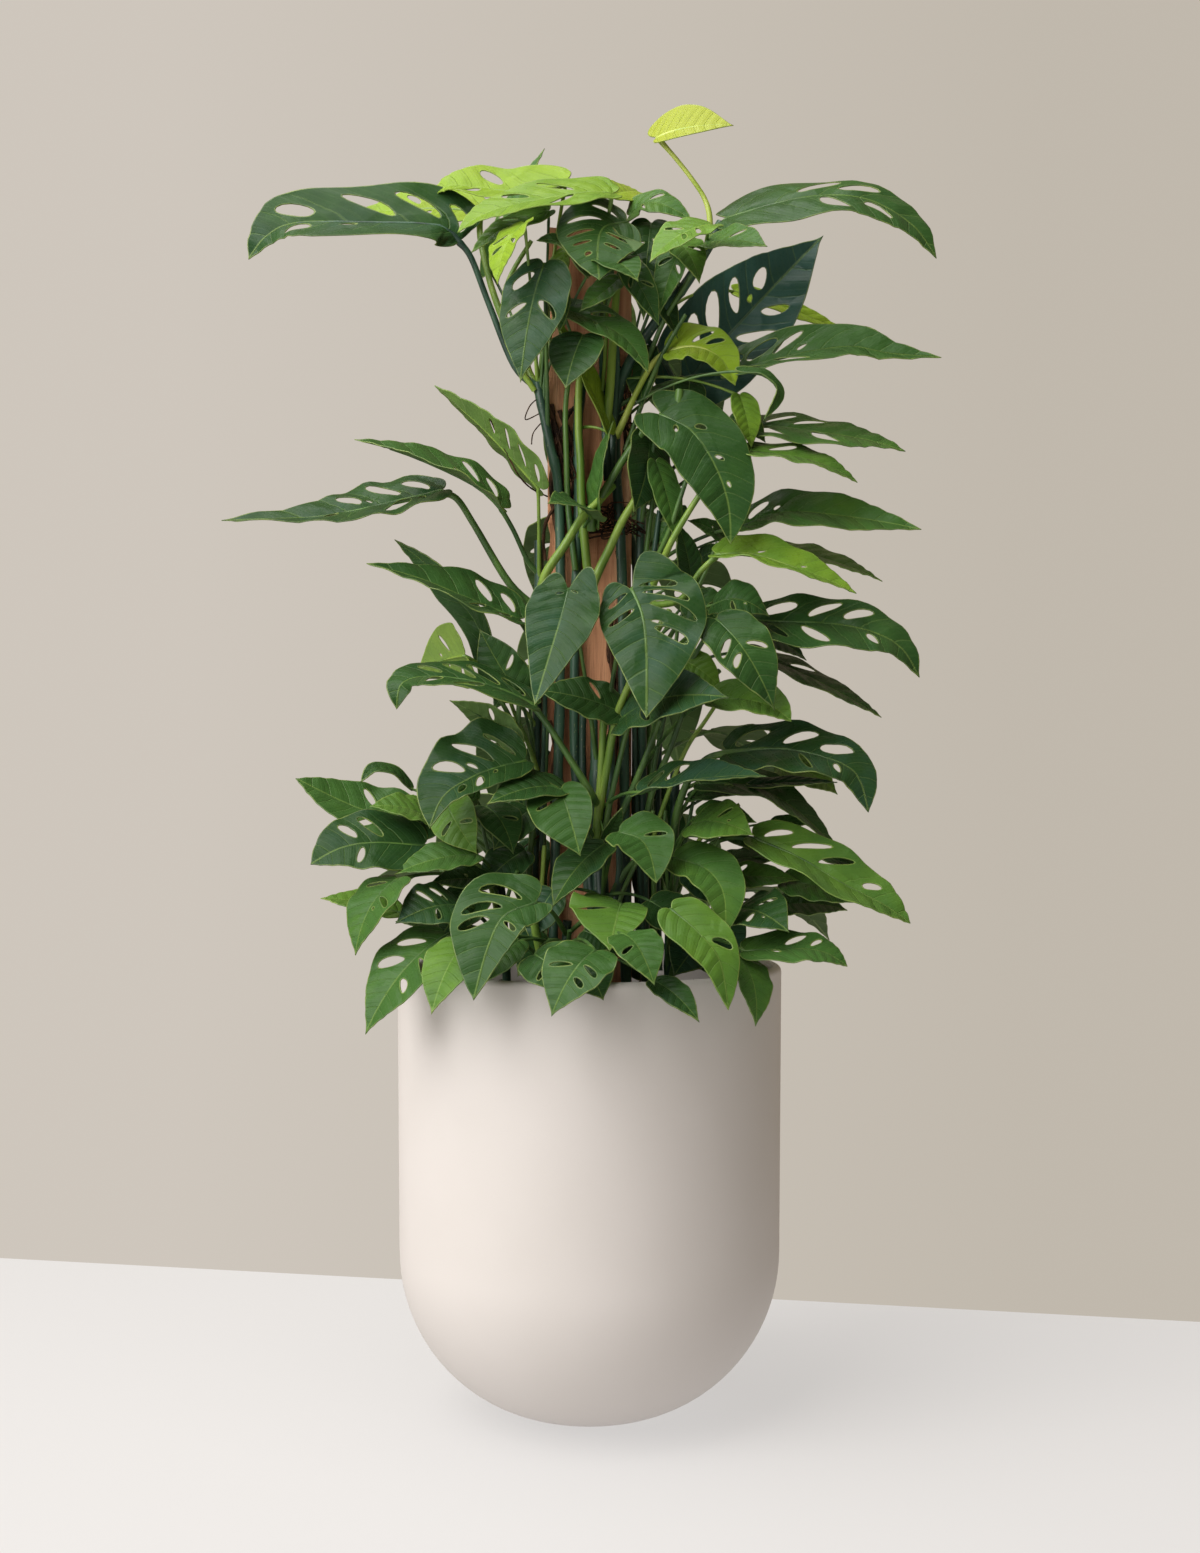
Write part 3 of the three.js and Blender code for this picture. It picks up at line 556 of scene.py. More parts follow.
# A hole is its place along the midrib, or that and how much wider it is; a negative one is small.
def holeLoop(rim, side, spot, draw):
    spot, swollen = spot if isinstance(spot, tuple) else (spot, 1)
    start = abs(spot)
    if spot > 0:
        wide = blade["holeWide"] * swollen * draw.uniform(*blade["varyWide"])
        inner, outer = blade["holeFrom"], blade["holeTo"]
    else:
        wide = blade["smallWide"]
        inner, outer = blade["smallFrom"], blade["smallTo"]
    inner *= rimShare(rim, start) * draw.uniform(*blade["varyFrom"])
    outer *= min(rimShare(rim, start), rimShare(rim, start + blade["holeLean"]))
    outer *= draw.uniform(*blade["varyTo"])
    loop = []
    for corner in range(blade["holeCorners"]):
        angle = 2 * math.pi * corner / blade["holeCorners"]
        share = (inner + outer) / 2 + (outer - inner) / 2 * math.cos(angle)
        swell = 1 + blade["holeSwell"] * math.cos(angle)
        along = start + veinRise(share) - veinRise(inner) + wide * math.sin(angle) * swell
        loop.append((side * share, along))
    return loop


def addLoop(bm, leaf, span, loop):
    half = leaf["half"] * mm
    verts = [bm.verts.new((share * half, along * span, 0)) for share, along in loop]
    for pair in zip(verts, verts[1:] + verts[:1]):
        bm.edges.new(pair)


# The side veins run between the holes: their spacing and where the first one leaves the midrib
def veinPattern(spots):
    big = [spot[0] if isinstance(spot, tuple) else spot for spot in spots]
    big = [spot for spot in big if spot > 0]
    gap = (big[-1] - big[0]) / (len(big) - 1) if len(big) > 1 else blade["veinGap"]
    if gap > blade["sparse"] * blade["veinGap"]:
        gap /= 2
    return gap, (big[0] if big else blade["veinStart"]) - blade["veinRise"] * 0.1


def cutAcross(bm, spot, normal):
    everything = bm.verts[:] + bm.edges[:] + bm.faces[:]
    bmesh.ops.bisect_plane(bm, geom=everything, plane_co=spot, plane_no=normal, dist=1e-6)


def bladeMesh(leaf, draw):
    rib = ribOf(leaf)
    span, half = rib["span"], leaf["half"] * mm
    rims = {side: rimOf(leaf, side) for side in (1, -1)}
    outline = [(share, along) for along, share in rims[1]]
    outline += [(-share, along) for along, share in rims[-1][-2:0:-1]]
    bm = bmesh.new()
    addLoop(bm, leaf, span, outline)
    for side, spots in ((1, leaf["plus"]), (-1, leaf["minus"])):
        for spot in spots:
            addLoop(bm, leaf, span, holeLoop(rims[side], side, spot, draw))
    bmesh.ops.triangle_fill(bm, use_beauty=True, use_dissolve=False, edges=bm.edges[:], normal=(0, 0, 1))
    for face in bm.faces:
        if face.normal.z < 0:
            face.normal_flip()
    border = bmesh.ops.inset_region(
        bm, faces=bm.faces[:], use_boundary=True, use_even_offset=True, thickness=blade["margin"] * mm
    )
    for face in border["faces"]:
        face.material_index = 1
    for step in range(-blade["cutsBehind"], blade["cutsAlong"]):
        cutAcross(bm, (0, step / blade["cutsAlong"] * span, 0), (0, 1, 0))
    cuts = blade["cutsAcross"]
    for step in range(1 - cuts // 2, cuts // 2):
        cutAcross(bm, (step / cuts * blade["cutGap"] * half, 0, 0), (1, 0, 0))
    for side in (-1, 1):
        cutAcross(bm, (side * blade["ribCut"] * half, 0, 0), (1, 0, 0))
    bmesh.ops.triangulate(bm, faces=bm.faces[:])
    shapeBlade(bm, leaf, rib, draw)
    mesh = makeMesh(bm, "blade")
    for material in leafMaterials:
        mesh.materials.append(material)
    return mesh


# Bends the flat blade along its midrib and cups, pleats, grooves and waves it
def shapeBlade(bm, leaf, rib, draw):
    layers = {name: bm.verts.layers.float.new(name) for name in ("tone", "along", "share", "vein")}
    half, span = leaf["half"] * mm, rib["span"]
    tone = tones[leaf["tone"]] + draw.uniform(-blade["varyTone"], blade["varyTone"])
    veins = {1: veinPattern(leaf["plus"]), -1: veinPattern(leaf["minus"])}
    waves, phase = draw.uniform(*blade["waves"]), draw.uniform(0, 6.3)
    for vert in bm.verts:
        share, along = vert.co.x / half, vert.co.y / span
        size = abs(share)
        gap, first = veins[1 if share >= 0 else -1]
        vein = (along - veinRise(share) - first) / gap + 0.5
        spot, tangent, face = onRib(rib, along)
        across = tangent.cross(face)
        between = 1 - (2 * (vein - math.floor(vein)) - 1) ** 2
        fade = min(size * blade["pleatStart"], 1) * max(0, 1 - size ** 3)
        swing = waves * 2 * math.pi * along + phase + (blade["waveShift"] if share > 0 else 0)
        lift = leaf["cup"] * half * size ** blade["cupPower"]
        lift += leaf["pleats"] * blade["pleat"] * gap * span * 4 * between * fade
        lift -= blade["groove"] * mm * math.exp(-(share / blade["grooveWide"]) ** 2) * (1 - along)
        lift += leaf["pleats"] * blade["wave"] * half * size ** 3 * math.sin(swing)
        beyond = along - min(max(along, 0), 1)
        vert.co = spot + tangent * beyond * span + across * share * half + face * lift
        for name, value in (("tone", tone), ("along", along), ("share", share), ("vein", vein)):
            vert[layers[name]] = value


# What both faces of a leaf share: its body colour and the masks of its veins and swellings
def leafNodes(name, roughness):
    material, tree, shader = startMaterial(name, roughness, 0.13)
    cloud = calc(tree, "SUBTRACT", grain(tree, 26, detail=3), 0.5)
    body = ramp(tree, plus(tree, named(tree, "tone"), times(tree, cloud, 0.28)), toneStops)
    vein, size = named(tree, "vein"), calc(tree, "ABSOLUTE", named(tree, "share"))
    fromVein = calc(tree, "PINGPONG", vein, 0.5)
    masks = {
        "vein": times(tree, spread(tree, fromVein, 0.008, 0.045, 1, 0), spread(tree, size, 0.5, 0.95, 1, 0)),
        "twigs": spread(tree, calc(tree, "PINGPONG", times(tree, vein, 4), 0.5), 0.02, 0.2, 1, 0),
        "midrib": spread(tree, size, 0.014, 0.034, 1, 0),
        "quilt": times(tree, spread(tree, fromVein, 0, 0.5), spread(tree, size, 0.6, 1, 1, 0)),
        "swell": grain(tree, 24, detail=0),
    }
    return material, tree, shader, body, masks


def leafTop():
    material, tree, shader, body, masks = leafNodes("leafTop", 0.42)
    fine = grain(tree, 420, detail=2)
    pale = blendColor(tree, 0.5, body, srgb(*leafColors["topVein"]))
    middle = blendColor(tree, 0.5, body, srgb(*leafColors["topMidrib"]))
    color = blendColor(tree, times(tree, masks["vein"], 0.3), body, pale)
    color = blendColor(tree, times(tree, masks["twigs"], 0.05), color, pale)
    paint(tree, shader, blendColor(tree, times(tree, masks["midrib"], 0.55), color, middle))
    feed(tree, shader.inputs["Roughness"], spread(tree, fine, 0.3, 0.7, 0.26, 0.4))
    sunk = plus(tree, times(tree, masks["twigs"], 0.25), masks["vein"])
    height = calc(tree, "SUBTRACT", times(tree, fine, 0.14), sunk)
    height = plus(tree, height, plus(tree, times(tree, masks["swell"], 8), masks["quilt"]))
    relief(tree, shader, height, 0.4 * mm, 0.8)
    return material


def leafUnder():
    material, tree, shader, body, masks = leafNodes("leafUnder", 0.55)
    fine = grain(tree, 500, detail=2)
    dull = blendColor(tree, 0.4, body, srgb(*leafColors["under"]))
    pale = blendColor(tree, 0.5, dull, srgb(*leafColors["underVein"]))
    color = blendColor(tree, times(tree, masks["vein"], 0.6), dull, pale)
    paint(tree, shader, blendColor(tree, times(tree, masks["midrib"], 0.9), color, pale))
    raised = plus(tree, times(tree, masks["twigs"], 0.2), masks["vein"])
    swell = calc(tree, "SUBTRACT", times(tree, masks["swell"], 6), times(tree, masks["quilt"], 0.8))
    height = plus(tree, plus(tree, times(tree, fine, 0.05), raised), swell)
    relief(tree, shader, height, 0.4 * mm, 0.7)
    return material


def leafMargin():
    material, tree, shader = startMaterial("leafMargin", 0.45, 0.4)
    body = ramp(tree, named(tree, "tone"), toneStops)
    uneven = grain(tree, 60, detail=2)
    paint(tree, shader, tint(tree, body, uneven, (0.35, 0.65, 0.15, 0.55), leafColors["margin"]))
    return material


leafMaterials = [leafTop(), leafMargin(), leafUnder(), leafMargin()]  # top and its edge, then below


# Stems and leaf stalks. A stalk swells at a knee just before the blade and thins as its keel.

stem = {"buried": (-60, -30, 0, 20), "stepsPerSpan": 7, "nodeEvery": 62, "nodeLong": 5, "nodeSwell": 0.2}
stalk = {
    "radius": 1.0, "perHalf": 0.028, "steps": 14, "bentSteps": 6, "rise": 0.16, "meets": 0.012,
    "foot": 1.25, "taper": 0.35, "knee": 0.22, "kneeAt": 0.95, "kneeLong": 0.05,
    "keel": 0.8, "keelSteps": 8, "keelThick": 0.72, "keelEnd": 0.1, "keelSunk": 0.7, "keelGroove": 0.4,
}
shoot = {"steps": 7, "thin": 0.82, "gain": 0.3}
stemTones = {"Y": 2, "L": 2, "P": 2, "B": 2, "O": 1, "M": 1, "G": 1, "D": 1, "K": 1, "T": 0}
stemColors = [  # name, light, dark; a tone above is the place in this list
    ("stemBlueGreen", (60, 90, 70), (36, 58, 47)),
    ("stemGreen", (84, 116, 54), (54, 82, 42)),
    ("stemLime", (128, 154, 64), (90, 122, 46)),
    ("stemYellow", (178, 190, 92), (146, 168, 66)),
]


def stemMaterial(name, light, dark):
    material, tree, shader = startMaterial(name, 0.42, 0.45)
    long = grain(tree, 60, (1, 1, 0.18), 3)
    streak = grain(tree, 420, (1, 1, 0.06), 2)
    fleck = grain(tree, 520, (1, 1, 0.5), 1)
    color = blendColor(tree, spread(tree, long, 0.35, 0.65), srgb(*dark), srgb(*light))
    paint(tree, shader, tint(tree, color, fleck, (0.68, 0.78, 0, 0.5), (140, 150, 104)))
    relief(tree, shader, streak, 0.25 * mm, 0.5)
    return material


def stemLine(vine):
    x, y = vine["foot"]
    points = [Vector((x, y, soil["top"] + up)) * mm for up in stem["buried"]]
    points += [place(spot) for spot in vine["route"]]
    return smoothLine(points, stem["stepsPerSpan"])


def stemSpot(line, height):
    return min(line, key=lambda point: abs(point.z - height * mm))


def addSpline(curve, points, radii, tone):
    spline = curve.splines.new("POLY")
    spline.points.add(len(points) - 1)
    for target, point, radius in zip(spline.points, points, radii):
        target.co = (*point, 1)
        target.radius = radius
    spline.material_index = tone
    spline.use_smooth = True


def stalkSpline(curve, leaf, line):
    rib = ribOf(leaf)
    end, _, face = onRib(rib, stalk["meets"])
    under = blade["thick"] * mm
    start, last = stemSpot(line, leaf["from"]), end - face * under
    if leaf["stalk"]:
        path = smoothLine([start, *(place(spot) for spot in leaf["stalk"]), last], stalk["bentSteps"])
    else:
        bend = (start + end) / 2 + Vector((0, 0, stalk["rise"] * (end - start).length))
        path = archLine(start, bend, last, stalk["steps"])
    thick = leaf["thick"] or stalk["radius"] + stalk["perHalf"] * leaf["half"]
    radii = []
    for i in range(len(path)):
        t = i / (len(path) - 1)
        knee = stalk["knee"] * math.exp(-((t - stalk["kneeAt"]) / stalk["kneeLong"]) ** 2)
        radii.append(thick * (stalk["foot"] - stalk["taper"] * min(t * 2, 1) + knee))
    for step in range(1, stalk["keelSteps"] + 1):
        along = stalk["keel"] * step / stalk["keelSteps"]
        spot, _, side = onRib(rib, along)
        sunk = under * stalk["keelSunk"] + blade["groove"] * stalk["keelGroove"] * mm * (1 - along)
        path.append(spot - side * sunk)
        radii.append(thick * (stalk["keelThick"] * (1 - along) + stalk["keelEnd"]))
    addSpline(curve, path, radii, stemTones[leaf["tone"]] if leaf["stem"] is None else leaf["stem"])


def stemSpline(curve, vine, line):
    radii, walked = [], 0
    for i, point in enumerate(line):
        walked += (point - line[i - 1]).length / mm if i else 0
        offset = (walked % stem["nodeEvery"]) - stem["nodeEvery"] / 2
        swell = 1 + stem["nodeSwell"] * math.exp(-(offset / stem["nodeLong"]) ** 2)
        radii.append(vine["girth"] * swell)
    addSpline(curve, line, radii, 0)


def makeCurve(name, materials):
    curve = bpy.data.curves.new(name, "CURVE")
    for material in materials:
        curve.materials.append(material)
    return curve


def tubesToMesh(curve, name):
    curve.dimensions = "3D"
    curve.bevel_depth = mm  # so a point's radius is in millimetres
    curve.bevel_resolution = 3
    curve.use_fill_caps = True
    holder = addObject(name, curve)
    bpy.context.view_layer.update()
    mesh = bpy.data.meshes.new_from_object(holder.evaluated_get(bpy.context.evaluated_depsgraph_get()))
    mesh.name = name
    bpy.data.objects.remove(holder)
    return mesh


# Vines, one dictionary each. A leaf's row: height on the stem, base, tip, half width, facing (turned,
# leaned back), arch, cup, tone, then its holes on the two sides and what differs from noChange.
# The small leaves come last. A shoot is a leafless stalk: radius, tone and its spots.

noChange = {
    "plus": (), "minus": (), "peak": 0.45, "via": (), "twist": 0, "sides": (1, 1), "lobes": (0, 0),
    "stalk": (), "thick": 0, "stem": None, "pleats": 1, "round": False,
}
vines = {}
vines["upper_left"] = {"girth": 4.8, "foot": (-34, -40), "route": [
    (-36, 500, -36), (-31, 650, -30), (-29, 800, -28), (-31, 920, -28), (-40, 968, -29), (-52, 1028, -28),
], "leaves": [
    (1018, (-130, 1169, -45), (-341, 1151, -70), 46, (0, 42), 0, .31, "K",
     (.08, .21, (.36, 1.1), (.58, 1.5)), ((.6, 1.5), -.46),
     {"via": [(-150, 1185, -48), (-212, 1188, -56), (-290, 1188, -62), (-322, 1175, -66)],
     "stalk": [(-75, 1045, -30), (-100, 1105, -34), (-118, 1152, -40)], "thick": 3.4, "stem": 0,
     "lobes": (-.06, -.06)}),
    (1014, (-22, 1230, -34), (-156, 1216, -30), 34, (0, 50), 0, .26, "L", ((.38, 1.7),), ((.5, 1.2),),
     {"via": [(-70, 1220, -34), (-110, 1223, -32), (-138, 1225, -31)]}),
    (1008, (-108, 1198, 46), (-238, 1195, 56), 34, (0, 44), 6, .15, "L", (.3, .5), (.4,),
     {"stalk": [(-90, 1100, 6), (-108, 1165, 30)], "thick": 3.6}),
    (984, (-100, 1138, 30), (-45, 1262, 58), 20, (-42, 20), 4, .1, "M", (.25, .45), (.35,)),
    (1020, (-65, 1188, -108), (-92, 1126, -130), 24, (-50, 20), 8, .1, "L", (.3, .5), (.4,)),
    (994, (-40, 1200, -62), (-118, 1158, -86), 16, (0, 49), 0, .1, "O", (.35,), (),
     {"via": [(-70, 1189, -70), (-95, 1177, -78)]}),
    (974, (-45, 1148, -84), (-69, 1028, -114), 34, (-15, 20), 10, -.1, "K",
     ((.14, 1.9), (.42, 1.1)), ((.4, 1.5),)),
    (1010, (-2, 1134, -70), (-53, 1170, -92), 15, (-20, 50), 0, .2, "D",
     {"via": [(-16, 1152, -76), (-32, 1169, -84)]}),
    (1000, (-24, 1162, -33), (-28, 1112, -49), 13, (-40, 20), 4, .3, "B"),
    (1006, (-38, 1140, -75), (-30, 1076, -87), 14, (30, 10), 4, .2, "D"),
], "shoots": [
    (2.8, 1, (-12, 1064, -46), (-20, 1034, -38), (-24, 1000, -33), (-23, 950, -33), (-21, 900, -33),
     (-14, 840, -34)),
    (2.6, 2, (-58, 1170, -60), (-84, 1120, -50), (-78, 1060, -40), (-55, 1020, -32)),
]}
vines["upper_front"] = {"girth": 4.8, "foot": (4, -48), "route": [
    (2, 520, -42), (-14, 640, -30), (-14, 790, -28), (-11, 900, -27), (-10, 1010, -27), (8, 1075, -28),
    (20, 1140, -28),
], "leaves": [
    (1040, (24, 1217, -68), (-132, 1178, -100), 36, (0, 56), 0, .12, "P", ((.28, .8), .5), (.3,),
     {"via": [(0, 1219, -72), (-40, 1213, -80), (-80, 1205, -88), (-110, 1194, -94)]}),
    (1125, (20, 1214, -24), (52, 1217, 50), 20, (10, 35), 4, .1, "L"),
    (1075, (38, 1189, -66), (10, 1130, -112), 44, (0, 26), 0, -.05, "G",
     ((.12, .6), (.27, .6), (.42, .6), (.56, .5), (.7, .5)), ((.25, .6), (.42, .6), (.58, .5)),
     {"via": [(14, 1183, -78), (8, 1160, -95)]}),
    (1060, (12, 1148, -74), (49, 1129, -118), 24, (20, 35), 8, .1, "G"),
    (1030, (-30, 1104, -58), (59, 1038, -84), 24, (10, 50), 0, .15, "M", (-.3,), (.25,),
     {"via": [(10, 1088, -68), (40, 1068, -76)]}),
    (975, (19, 978, -50), (-34, 1094, -60), 20, (70, -10), 0, .2, "L",
     {"via": [(2, 1022, -54), (-18, 1060, -58)]}),
    (860, (8, 884, -46), (24, 990, -60), 20, (-70, 5), 6, .2, "M"),
    (1020, (-6, 1076, -72), (-24, 1021, -102), 27, (-10, 30), 6, .1, "K"),
    (870, (3, 893, -58), (-42, 907, -114), 26, (-15, 40), 8, .1, "G"),
    (1100, (40, 1195, -20), (102, 1191, -50), 20, (10, 36), 0, .1, "M", (.3,), (.4,),
     {"via": [(56, 1208, -30), (78, 1204, -40)]}),
    (1090, (62, 1188, -24), (54, 1090, -46), 25, (-5, 20), 14, .1, "D", (.3, .5), (.25,)),
    (1060, (30, 1132, -65), (-10, 1099, -85), 15, (-20, 30), 0, .2, "M"),
    (1050, (34, 1150, -63), (70, 1084, -73), 16, (20, 10), 4, .2, "D", (.3,), (.4,)),
], "shoots": [
    (4, 2, (-4, 1070, -44), (-10, 1032, -39), (-11, 985, -37), (-9, 950, -37), (-8, 905, -38),
     (-2, 840, -38)),
    (4.4, 2, (28, 1130, -42), (24, 1080, -45), (21, 1030, -46), (17, 985, -42)),
    (2, 2, (10, 1122, -40), (17, 1100, -40), (16, 1060, -42), (13, 1020, -40)),
    (3.4, 0, (12, 1072, -38), (13, 1030, -37), (15, 990, -37), (18, 930, -38)),
    (4.2, 2, (24, 925, -44), (8, 908, -54), (-8, 892, -60), (-25, 865, -64), (-43, 838, -60),
     (-50, 815, -50)),
    (4.2, 2, (66, 950, -44), (50, 918, -50), (33, 890, -52), (20, 862, -52), (6, 832, -54), (-4, 800, -44)),
    (4, 0, (-6, 720, -36), (-7, 650, -36), (-4, 590, -38), (-2, 520, -40)),
]}
vines["upper_right"] = {"girth": 5, "foot": (36, -42), "route": [
    (36, 520, -38), (34, 700, -31), (32, 850, -29), (26, 960, -29), (32, 1030, -30), (66, 1088, -34),
    (100, 1132, -36), (132, 1188, -32),
], "leaves": [
    (1160, (67, 1273, -30), (144, 1285, -60), 28, (0, 34), 6, .2, "Y",
     {"stalk": [(120, 1195, -32), (115, 1212, -30), (105, 1228, -30), (88, 1250, -30)], "thick": 2.6,
     "stem": 3, "sides": (.6, 1.04), "lobes": (-.02, .12), "pleats": .1, "round": True}),
    (1174, (136, 1192, -30), (347, 1152, -70), 44, (0, 53), 0, -.03, "D",
     ((.42, 1.3), (.64, 1.7)), ((.33, 1.5), (.5, 1.6)),
     {"via": [(180, 1206, -40), (230, 1215, -50), (278, 1211, -58), (322, 1186, -66)]}),
    (1168, (116, 1168, -60), (178, 1164, -114), 26, (0, 42), 4, .18, "M", (), (.4,)),
    (1062, (88, 1018, 14), (234, 1175, 42), 52, (-5, 5), 8, .32, "T",
     (.2, .38, .55), (.05, (.19, 1.1), (.33, 1.2), (.47, .9), -.55, (.63, 1.2))),
    (968, (78, 1060, -40), (146, 1025, -66), 30, (0, 46), 0, .23, "L", (), (.3, .45),
     {"via": [(105, 1064, -48), (130, 1053, -58)],
     "stalk": [(32, 985, -40), (48, 1020, -40), (64, 1048, -40)], "thick": 3.2, "stem": 3}),
    (1000, (140, 1037, -34), (352, 1053, -60), 36, (0, 57), 0, .29, "G",
     (-.07, (.14, .8), .3), ((.03, 1.9), (.18, 1.6), (.3, .8), -.4),
     {"via": [(165, 1046, -38), (210, 1057, -42), (260, 1064, -48), (300, 1057, -54)], "twist": 15}),
    (1090, (146, 1119, 66), (262, 1074, 88), 19, (0, 48), 4, .1, "L", (), (-.3, .45)),
    (990, (147, 1040, -84), (174, 990, -92), 10, (60, 20), 0, .3, "G",
     {"via": [(175, 1035, -88), (189, 1017, -90)]}),
    (1150, (122, 1186, -110), (60, 1148, -138), 28, (-10, 58), 8, .1, "B", (.4,), (.3, .5)),
    (1110, (76, 1172, -66), (110, 1127, -84), 24, (25, 38), 12, .1, "O", (.3,), (.45,)),
    (1050, (96, 1170, -50), (70, 1096, -60), 18, (-30, 10), 6, .2, "M", (.3,), (.4,)),
    (1040, (60, 1130, -31), (88, 1072, -39), 14, (30, 10), 4, .2, "K"),
    (1020, (150, 1016, -50), (162, 962, -60), 15, (20, 10), 4, .2, "B"),
    (1000, (56, 1064, -20), (52, 1000, -40), 18, (-20, 5), 4, .2, "K"),
    (980, (100, 1030, -20), (92, 984, -36), 18, (20, 5), 4, .2, "K"),
], "shoots": [
    (4, 0, (26, 1075, -36), (27, 1040, -35), (24, 990, -35), (22, 930, -34)),
    (4, 1, (65, 995, -60), (30, 945, -56), (5, 900, -50), (2, 880, -44)),
    (4.6, 1, (90, 1021, -60), (89, 1010, -60), (86, 990, -56), (60, 960, -40)),
    (2.6, 1, (118, 1160, -60), (80, 1100, -40), (62, 1060, -34), (46, 1010, -32)),
    (2.4, 1, (96, 1096, -50), (70, 1050, -44), (50, 1000, -36), (36, 960, -32)),
]}
vines["right"] = {"girth": 4.6, "foot": (56, -22), "route": [
    (54, 560, -20), (52, 700, -21), (50, 820, -22), (52, 900, -24), (54, 950, -26),
], "leaves": [
    (880, (70, 997, -66), (141, 866, -104), 40, (10, 25), 0, .1, "D", (-.16,), (-.25, -.45, -.62),
     {"via": [(102, 980, -78), (126, 944, -90), (139, 905, -98)], "lobes": (.08, .08)}),
    # The dark tone K of this leaf is partly painted shade: it sits in the shade of the big leaf above it.
    (870, (60, 976, -46), (44, 898, -62), 30, (45, 5), 6, .1, "K"),
    (905, (148, 985, -20), (316, 959, -50), 36, (0, 60), 0, .02, "M",
     ((.14, 1.8), (.44, 1.9)), ((.18, .9), (.32, .9)),
     {"via": [(190, 984, -28), (240, 977, -38), (280, 970, -44)]}),
    (890, (155, 960, -60), (268, 928, -82), 30, (0, 68), 0, .12, "O", (), ((.2, 1.6),),
     {"via": [(200, 955, -68), (235, 946, -76)]}),
    (830, (155, 885, -30), (332, 881, -50), 36, (0, 64), 0, .15, "M", (), ((.08, 1.5), -.24),
     {"via": [(180, 896, -34), (210, 899, -38), (250, 895, -42), (290, 889, -46)], "twist": 25}),
    (800, (127, 856, -76), (267, 817, -100), 32, (0, 63), 0, .28, "B", (), (-.3, -.58),
     {"via": [(160, 857, -84), (200, 845, -92), (235, 832, -97)],
     "stalk": [(90, 810, -60), (110, 838, -70)], "thick": 3.2}),
    (820, (180, 862, 0), (293, 829, -20), 28, (0, 70), 6, .1, "O"),
    (740, (167, 790, -60), (330, 733, -90), 46, (0, 55), 0, .05, "D",
     ((.1, .8), (.28, 1.2), (.62, 1)), ((.08, 2.2), (.3, 1), (.48, 1.5)),
     {"via": [(200, 789, -68), (240, 787, -76), (278, 780, -82), (310, 764, -87)]}),
    (750, (124, 806, -84), (180, 794, -98), 24, (0, 40), 14, .1, "D", (.38, -.6), ()),
    (730, (145, 788, -30), (217, 750, -40), 26, (0, 60), 6, .1, "K"),
    (720, (126, 792, -122), (185, 700, -150), 31, (10, 30), 14, .1, "D", (.3, .47), (.4,)),
    (710, (155, 760, -26), (292, 693, -46), 28, (0, 71), 0, .05, "G", (), ((.1, 1.2), (.34, 1.2)),
     {"via": [(200, 743, -32), (250, 718, -40)]}),
    (640, (120, 712, -112), (202, 689, -142), 28, (0, 54), 0, .2, "O",
     {"via": [(155, 711, -124), (182, 704, -134)]}),
    (880, (66, 950, -52), (87, 868, -64), 17, (30, 10), 4, .1, "M"),
    (850, (92, 905, -40), (66, 862, -30), 14, (-20, 30), 4, .1, "G", (.4,), ()),
    (820, (135, 872, -20), (98, 890, -30), 12, (0, 40), 4, .1, "G", (-.4,), ()),
    (800, (102, 826, -40), (88, 888, -50), 15, (30, 10), 4, .1, "D"),
    (790, (108, 850, -20), (138, 862, -30), 12, (0, 40), 4, .1, "D"),
    (900, (140, 992, -30), (176, 968, -40), 18, (30, 30), 6, .2, "M", (), (.3,)),
    (740, (100, 812, -60), (140, 778, -70), 22, (0, 30), 6, .1, "D", (.3,), (.4,)),
    (700, (90, 752, -60), (132, 722, -70), 18, (0, 30), 6, .1, "B"),
], "shoots": [
    (3.2, 2, (120, 930, -86), (100, 900, -80), (80, 865, -76), (64, 826, -50)),
    (2.6, 1, (100, 940, -74), (90, 910, -68), (80, 880, -60), (62, 840, -40)),
    (2.8, 1, (70, 950, -40), (62, 900, -36), (56, 850, -30), (52, 800, -26)),
    (2.4, 1, (128, 868, -40), (112, 830, -40), (90, 790, -40), (60, 740, -30)),
    (3, 0, (70, 900, -36), (64, 850, -34), (58, 790, -30), (54, 740, -28)),
    (2.6, 1, (120, 780, -70), (96, 740, -60), (72, 700, -46), (56, 650, -30)),
    (3, 1, (130, 740, -60), (100, 710, -76), (80, 660, -70), (62, 616, -56), (54, 570, -36)),
    (2.2, 2, (140, 726, -50), (116, 690, -60), (96, 660, -60), (76, 610, -50), (60, 560, -36)),
    (2.4, 1, (88, 780, -50), (80, 720, -46), (66, 650, -40), (58, 590, -30)),
]}
